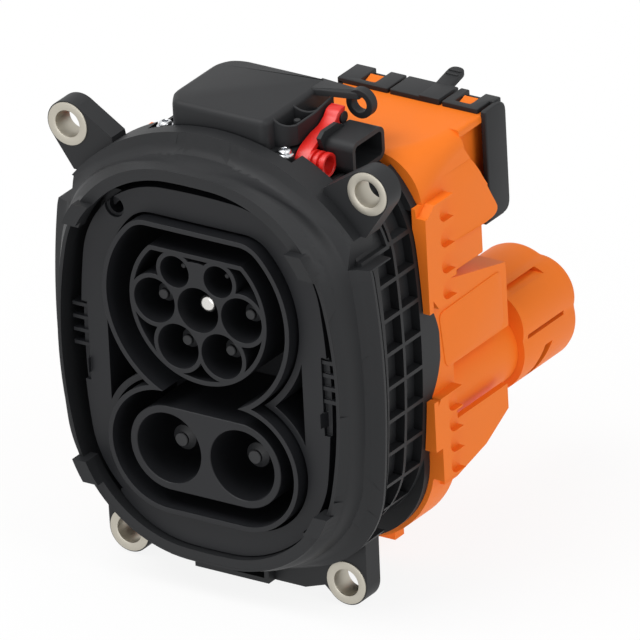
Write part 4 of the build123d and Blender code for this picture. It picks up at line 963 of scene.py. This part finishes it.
FRONT_GROUP = ("face_insert", "socket_housing", "ac_contact_carrier", "dc_contact_carrier")
GUARDED_PINS = ("ac_pin_l1", "ac_pin_neutral", "ac_pin_l2", "ac_pin_l3", "proximity_pin", "pilot_pin",
                "dc_pin_minus", "dc_pin_plus")
MIDDLE_GROUP = ("socket_gasket", "rear_gasket", "sensor_board", "dc_busbar_minus", "dc_busbar_plus",
                "busbar_screws")
REAR_GROUP = ("cable_seal_minus", "cable_seal_plus")
LOCK_GROUP = ("actuator_base", "lock_pin", "lock_pin_guide", "worm_wheel", "worm", "motor")

# Pockets between the ribs of the middle housing: heights, depths and how far they go in; the side wall's
# half width, middle height and radius
RIB_ROWS = ((-58.4, -48.4), (-47.1, -37.1), (-35.8, -25.8))
RIB_COLUMNS = ((24.0, 32.55), (33.85, 42.7))
RIB_DEPTH = 3.2
MID_SIDE = (53.0, -19.5, 318.0)
POCKET_OUT_X = 60.0


def rib_pockets():
    """Pockets between the ribs on both sides; their floors follow the side's arc at the ribs' depth.

    The arc is taken as a parabola: the square of the height over twice the radius.
    """
    half_w, mid_z, radius = MID_SIDE
    tools = []
    for low, high in RIB_ROWS:
        z = np.linspace(low, high, 5)
        floor = half_w - RIB_DEPTH - (z - mid_z) ** 2 / (2 * radius)
        shape = np.concatenate([np.column_stack([floor, z]), [(POCKET_OUT_X, high), (POCKET_OUT_X, low)]])
        tools += [plate(shape * (side, 1.0), start, end, 0.0, "Y") for start, end in RIB_COLUMNS
                  for side in (1.0, -1.0)]
    return tools


def build_middle(sizes):
    """The ribbed housing with every pocket open, and the pieces it holds."""
    moulded("mid_housing", "mid_housing_moulded", sizes.edge_mm, cutters=rib_pockets())
    build_group(MIDDLE_GROUP, sizes)


def build_contacts(sizes):
    """The pins: the earth pin bare, the others with their metal drawn back into the guards."""
    def drawn_back(points):
        """Corners in front of the guards' seats go back to them."""
        return np.maximum(points, (-np.inf, GUARD_FRONT_Y, -np.inf))

    build_group(("earth_pin",), sizes)
    for node in GUARDED_PINS:
        moulded(node, node + "_turned", 0.0, reshape=drawn_back)


def build_group(nodes, sizes):
    """Each node's solid with rounded edges and its own finish."""
    for node in nodes:
        moulded(node, node + "_moulded", sizes.edge_mm)


# Camera, lights and floor: angles in degrees, places and sizes in metres

CAMERA_AZIMUTH = 34.668
CAMERA_HEIGHT = 25.16
CAMERA_ROLL = -2.926
PIXELS_PER_MM = 3.253
ORIGIN_PIXEL = (198.344, 310.626)
FRAME_PIXELS = 640
LENS = 1400.0
SENSOR = 36.0
CAMERA_AIM = (0.0, 0.04, -0.02)
CAMERA_REACH = 60.0
LAMP_AIM = (0.0, 0.03, -0.02)
FLOOR_GAP = 0.0005
FLOOR_HALF = 3.0
# The floor turns from a plain pale surface to white between these distances from the frame's origin
FLOOR_FADE = (0.10, 0.34)
FLOOR_GREY = (0.93, 0.93, 0.93, 1.0)
WHITE = (1.0, 1.0, 1.0, 1.0)


def build_camera():
    """Camera at the photograph's angle: a very long lens, so that parallel lines stay parallel."""
    a, e, r = (math.radians(v) for v in (CAMERA_AZIMUTH, CAMERA_HEIGHT, CAMERA_ROLL))
    back = Vector((math.sin(a) * math.cos(e), -math.cos(a) * math.cos(e), math.sin(e)))
    right = Vector((math.cos(a), math.sin(a), 0.0))
    up = back.cross(right)
    rolled_right = right * math.cos(r) + up * math.sin(r)
    rolled_up = up * math.cos(r) - right * math.sin(r)
    middle = FRAME_PIXELS / 2
    centre = (rolled_right * (middle - ORIGIN_PIXEL[0]) - rolled_up * (middle - ORIGIN_PIXEL[1]))
    centre *= MM / PIXELS_PER_MM
    centre += back * back.dot(Vector(CAMERA_AIM))
    distance = FRAME_PIXELS / PIXELS_PER_MM * MM * LENS / SENSOR
    camera = bpy.data.cameras.new("camera")
    camera.lens = LENS
    camera.sensor_width = SENSOR
    camera.clip_end = CAMERA_REACH
    holder = bpy.data.objects.new("camera", camera)
    bpy.context.scene.collection.objects.link(holder)
    turn = Matrix((rolled_right, rolled_up, back)).transposed()
    holder.matrix_world = Matrix.Translation(centre + back * distance) @ turn.to_4x4()
    bpy.context.scene.camera = holder


def build_lamps(sizes):
    """Three soft square lamps: name, place, side and watts."""
    lamps = (("key", (-0.35, -0.45, 1.3), 0.9, sizes.key_watts),
             ("side", (1.25, -0.1, 0.95), 0.8, sizes.side_watts),
             ("front", (0.1, -1.5, 0.1), 0.8, sizes.front_watts))
    for name, place, size, watts in lamps:
        light = bpy.data.lights.new(name, "AREA")
        light.energy = watts
        light.size = size
        lamp = bpy.data.objects.new(name, light)
        lamp.location = place
        lamp.rotation_euler = (Vector(LAMP_AIM) - Vector(place)).to_track_quat("-Z", "Y").to_euler()
        bpy.context.scene.collection.objects.link(lamp)


def build_world(sizes):
    """Even pale light on the piece, and white where the camera, a reflection or a clear part sees past it."""
    world = bpy.data.worlds.new("surroundings")
    bpy.context.scene.world = world
    world.use_nodes = True
    tree = world.node_tree
    tree.nodes.clear()
    out = add_node(tree, "ShaderNodeOutputWorld")
    rays = add_node(tree, "ShaderNodeLightPath").outputs
    seen = rays["Is Camera Ray"]
    for kind in ("Is Glossy Ray", "Is Transmission Ray"):
        seen = add_node(tree, "ShaderNodeMath", {"operation": "MAXIMUM"}, {0: seen, 1: rays[kind]}).outputs[0]
    ambient = add_node(tree, "ShaderNodeBackground", {"Color": WHITE, "Strength": sizes.ambient})
    shown = add_node(tree, "ShaderNodeBackground", {"Color": WHITE, "Strength": 1.0})
    tree.links.new(mixed_shaders(tree, seen, ambient.outputs[0], shown.outputs[0]), out.inputs["Surface"])


def build_floor():
    """A plain pale floor under the part, which keeps its shadow and fades to white further out."""
    z, half = CAD_BOX[0][2] - FLOOR_GAP, FLOOR_HALF
    mesh = bpy.data.meshes.new("floor")
    mesh.from_pydata([(-half, -half, z), (half, -half, z), (half, half, z), (-half, half, z)], [],
                     [(0, 1, 2, 3)])
    floor = bpy.data.objects.new("floor", mesh)
    bpy.context.scene.collection.objects.link(floor)
    material, tree, out, place = start_material("pale_floor")
    reach = add_node(tree, "ShaderNodeVectorMath", {"operation": "LENGTH"}, {0: place})
    fade = add_node(tree, "ShaderNodeMapRange",
                    {"From Min": FLOOR_FADE[0], "From Max": FLOOR_FADE[1], "To Min": 0.88,
                     "interpolation_type": "SMOOTHSTEP"}, {"Value": reach.outputs["Value"]})
    plain = add_node(tree, "ShaderNodeBsdfDiffuse", {"Color": FLOOR_GREY})
    white = add_node(tree, "ShaderNodeEmission", {"Color": WHITE, "Strength": 1.0})
    tree.links.new(mixed_shaders(tree, fade.outputs["Result"], plain.outputs[0], white.outputs[0]),
                   out.inputs["Surface"])
    mesh.materials.append(material)


def build_stage(sizes):
    """Camera, lamps, surroundings and floor."""
    build_camera()
    build_lamps(sizes)
    build_world(sizes)
    build_floor()
    bpy.context.scene.view_settings.view_transform = "Standard"


# Add-on parts

def watts(name, default):
    """A lamp's power as a property."""
    return bpy.props.FloatProperty(name=name, description="Power of the " + name.lower() + ", in watts",
                                   default=default, min=0.0, unit="POWER")


def plastic_colour(name, hex_colour):
    """A plastic's colour as a property."""
    return bpy.props.FloatVectorProperty(name=name, description="Colour of the " + name.lower(), size=3,
                                         subtype="COLOR", default=to_linear(hex_colour)[:3], min=0.0, max=1.0)


class InletSizes(bpy.types.PropertyGroup):
    """The edge radius, colours and lamp levels that a user would change."""
    edge_mm: bpy.props.FloatProperty(name="Edge radius", description="Rounding of moulded edges, in mm",
                                     default=0.3, min=0.0)
    black: plastic_colour("Black housings", "#191a1c")
    insert: plastic_colour("Black plug face", "#16171a")
    orange: plastic_colour("Orange housing", "#f37a20")
    red: plastic_colour("Red lever", "#d8231c")
    key_watts: watts("Key lamp", 14.0)
    side_watts: watts("Side lamp", 7.0)
    front_watts: watts("Front lamp", 6.0)
    ambient: bpy.props.FloatProperty(name="Surroundings", description="Strength of the even light",
                                     default=0.38, min=0.0)


class INLET_OT_collar(bpy.types.Operator):
    """Build the collar and the flange"""
    bl_idname = "inlet.collar"
    bl_label = "Collar and flange"

    def execute(self, context):
        build_collar(context.scene.inlet_sizes)
        return {"FINISHED"}


class INLET_OT_bushings(bpy.types.Operator):
    """Build the four lug sleeves"""
    bl_idname = "inlet.bushings"
    bl_label = "Lug sleeves"

    def execute(self, context):
        build_bushings()
        return {"FINISHED"}


class INLET_OT_guards(bpy.types.Operator):
    """Build the touch guards of the live contacts"""
    bl_idname = "inlet.guards"
    bl_label = "Touch guards"

    def execute(self, context):
        build_guards()
        return {"FINISHED"}


class INLET_OT_front(bpy.types.Operator):
    """Build the face plate, the shroud and the contact carriers"""
    bl_idname = "inlet.front"
    bl_label = "Plug face"

    def execute(self, context):
        build_group(FRONT_GROUP, context.scene.inlet_sizes)
        return {"FINISHED"}


class INLET_OT_contacts(bpy.types.Operator):
    """Build the contact pins"""
    bl_idname = "inlet.contacts"
    bl_label = "Contacts"

    def execute(self, context):
        build_contacts(context.scene.inlet_sizes)
        return {"FINISHED"}


class INLET_OT_middle(bpy.types.Operator):
    """Build the ribbed housing and what it holds"""
    bl_idname = "inlet.middle"
    bl_label = "Middle housing"

    def execute(self, context):
        build_middle(context.scene.inlet_sizes)
        return {"FINISHED"}


class INLET_OT_rear(bpy.types.Operator):
    """Build the rear housing and the cable seals"""
    bl_idname = "inlet.rear"
    bl_label = "Rear housing"

    def execute(self, context):
        build_hood(context.scene.inlet_sizes)
        build_group(REAR_GROUP, context.scene.inlet_sizes)
        return {"FINISHED"}


class INLET_OT_cover(bpy.types.Operator):
    """Build the rear cover with its pull tab"""
    bl_idname = "inlet.cover"
    bl_label = "Rear cover"

    def execute(self, context):
        build_cover()
        return {"FINISHED"}


class INLET_OT_caps(bpy.types.Operator):
    """Build the cable caps"""
    bl_idname = "inlet.caps"
    bl_label = "Cable caps"

    def execute(self, context):
        build_caps()
        return {"FINISHED"}


class INLET_OT_lever(bpy.types.Operator):
    """Build the release lever and its pin"""
    bl_idname = "inlet.lever"
    bl_label = "Release lever"

    def execute(self, context):
        build_lever()
        return {"FINISHED"}


class INLET_OT_screws(bpy.types.Operator):
    """Build the actuator's screws"""
    bl_idname = "inlet.screws"
    bl_label = "Screws"

    def execute(self, context):
        build_screws()
        return {"FINISHED"}


class INLET_OT_lock(bpy.types.Operator):
    """Build the lock actuator"""
    bl_idname = "inlet.lock"
    bl_label = "Plug lock"

    def execute(self, context):
        build_actuator()
        build_connector_pins()
        build_group(LOCK_GROUP, context.scene.inlet_sizes)
        return {"FINISHED"}


class INLET_OT_stage(bpy.types.Operator):
    """Set the camera, lamps and floor"""
    bl_idname = "inlet.stage"
    bl_label = "Stage"

    def execute(self, context):
        build_stage(context.scene.inlet_sizes)
        return {"FINISHED"}


class INLET_PT_panel(bpy.types.Panel):
    """Lists the inlet's pieces in the sidebar"""
    bl_idname = "INLET_PT_panel"
    bl_label = "Charge port inlet"
    bl_space_type = "VIEW_3D"
    bl_region_type = "UI"
    bl_category = "Inlet"

    def draw(self, context):
        for key in InletSizes.__annotations__:
            self.layout.prop(context.scene.inlet_sizes, key)
        for kind in OPERATORS:
            self.layout.operator(kind.bl_idname)


OPERATORS = (INLET_OT_collar, INLET_OT_bushings, INLET_OT_guards, INLET_OT_front, INLET_OT_contacts,
             INLET_OT_middle, INLET_OT_rear, INLET_OT_cover, INLET_OT_caps, INLET_OT_lock, INLET_OT_lever,
             INLET_OT_screws, INLET_OT_stage)
CLASSES = (InletSizes, *OPERATORS, INLET_PT_panel)


def register():
    """Registers the classes and hangs their values on the scene."""
    for kind in CLASSES:
        bpy.utils.register_class(kind)
    bpy.types.Scene.inlet_sizes = bpy.props.PointerProperty(type=InletSizes)


def unregister():
    """Takes back what register did."""
    del bpy.types.Scene.inlet_sizes
    for kind in reversed(CLASSES):
        bpy.utils.unregister_class(kind)


def main():
    """Makes the finishes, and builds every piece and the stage."""
    register()
    FINISH.update(finishes(bpy.context.scene.inlet_sizes))
    bpy.ops.inlet.collar()
    bpy.ops.inlet.bushings()
    bpy.ops.inlet.guards()
    bpy.ops.inlet.front()
    bpy.ops.inlet.contacts()
    bpy.ops.inlet.middle()
    bpy.ops.inlet.rear()
    bpy.ops.inlet.cover()
    bpy.ops.inlet.caps()
    bpy.ops.inlet.lock()
    bpy.ops.inlet.lever()
    bpy.ops.inlet.screws()
    bpy.ops.inlet.stage()


if __name__ == "__main__":
    main()
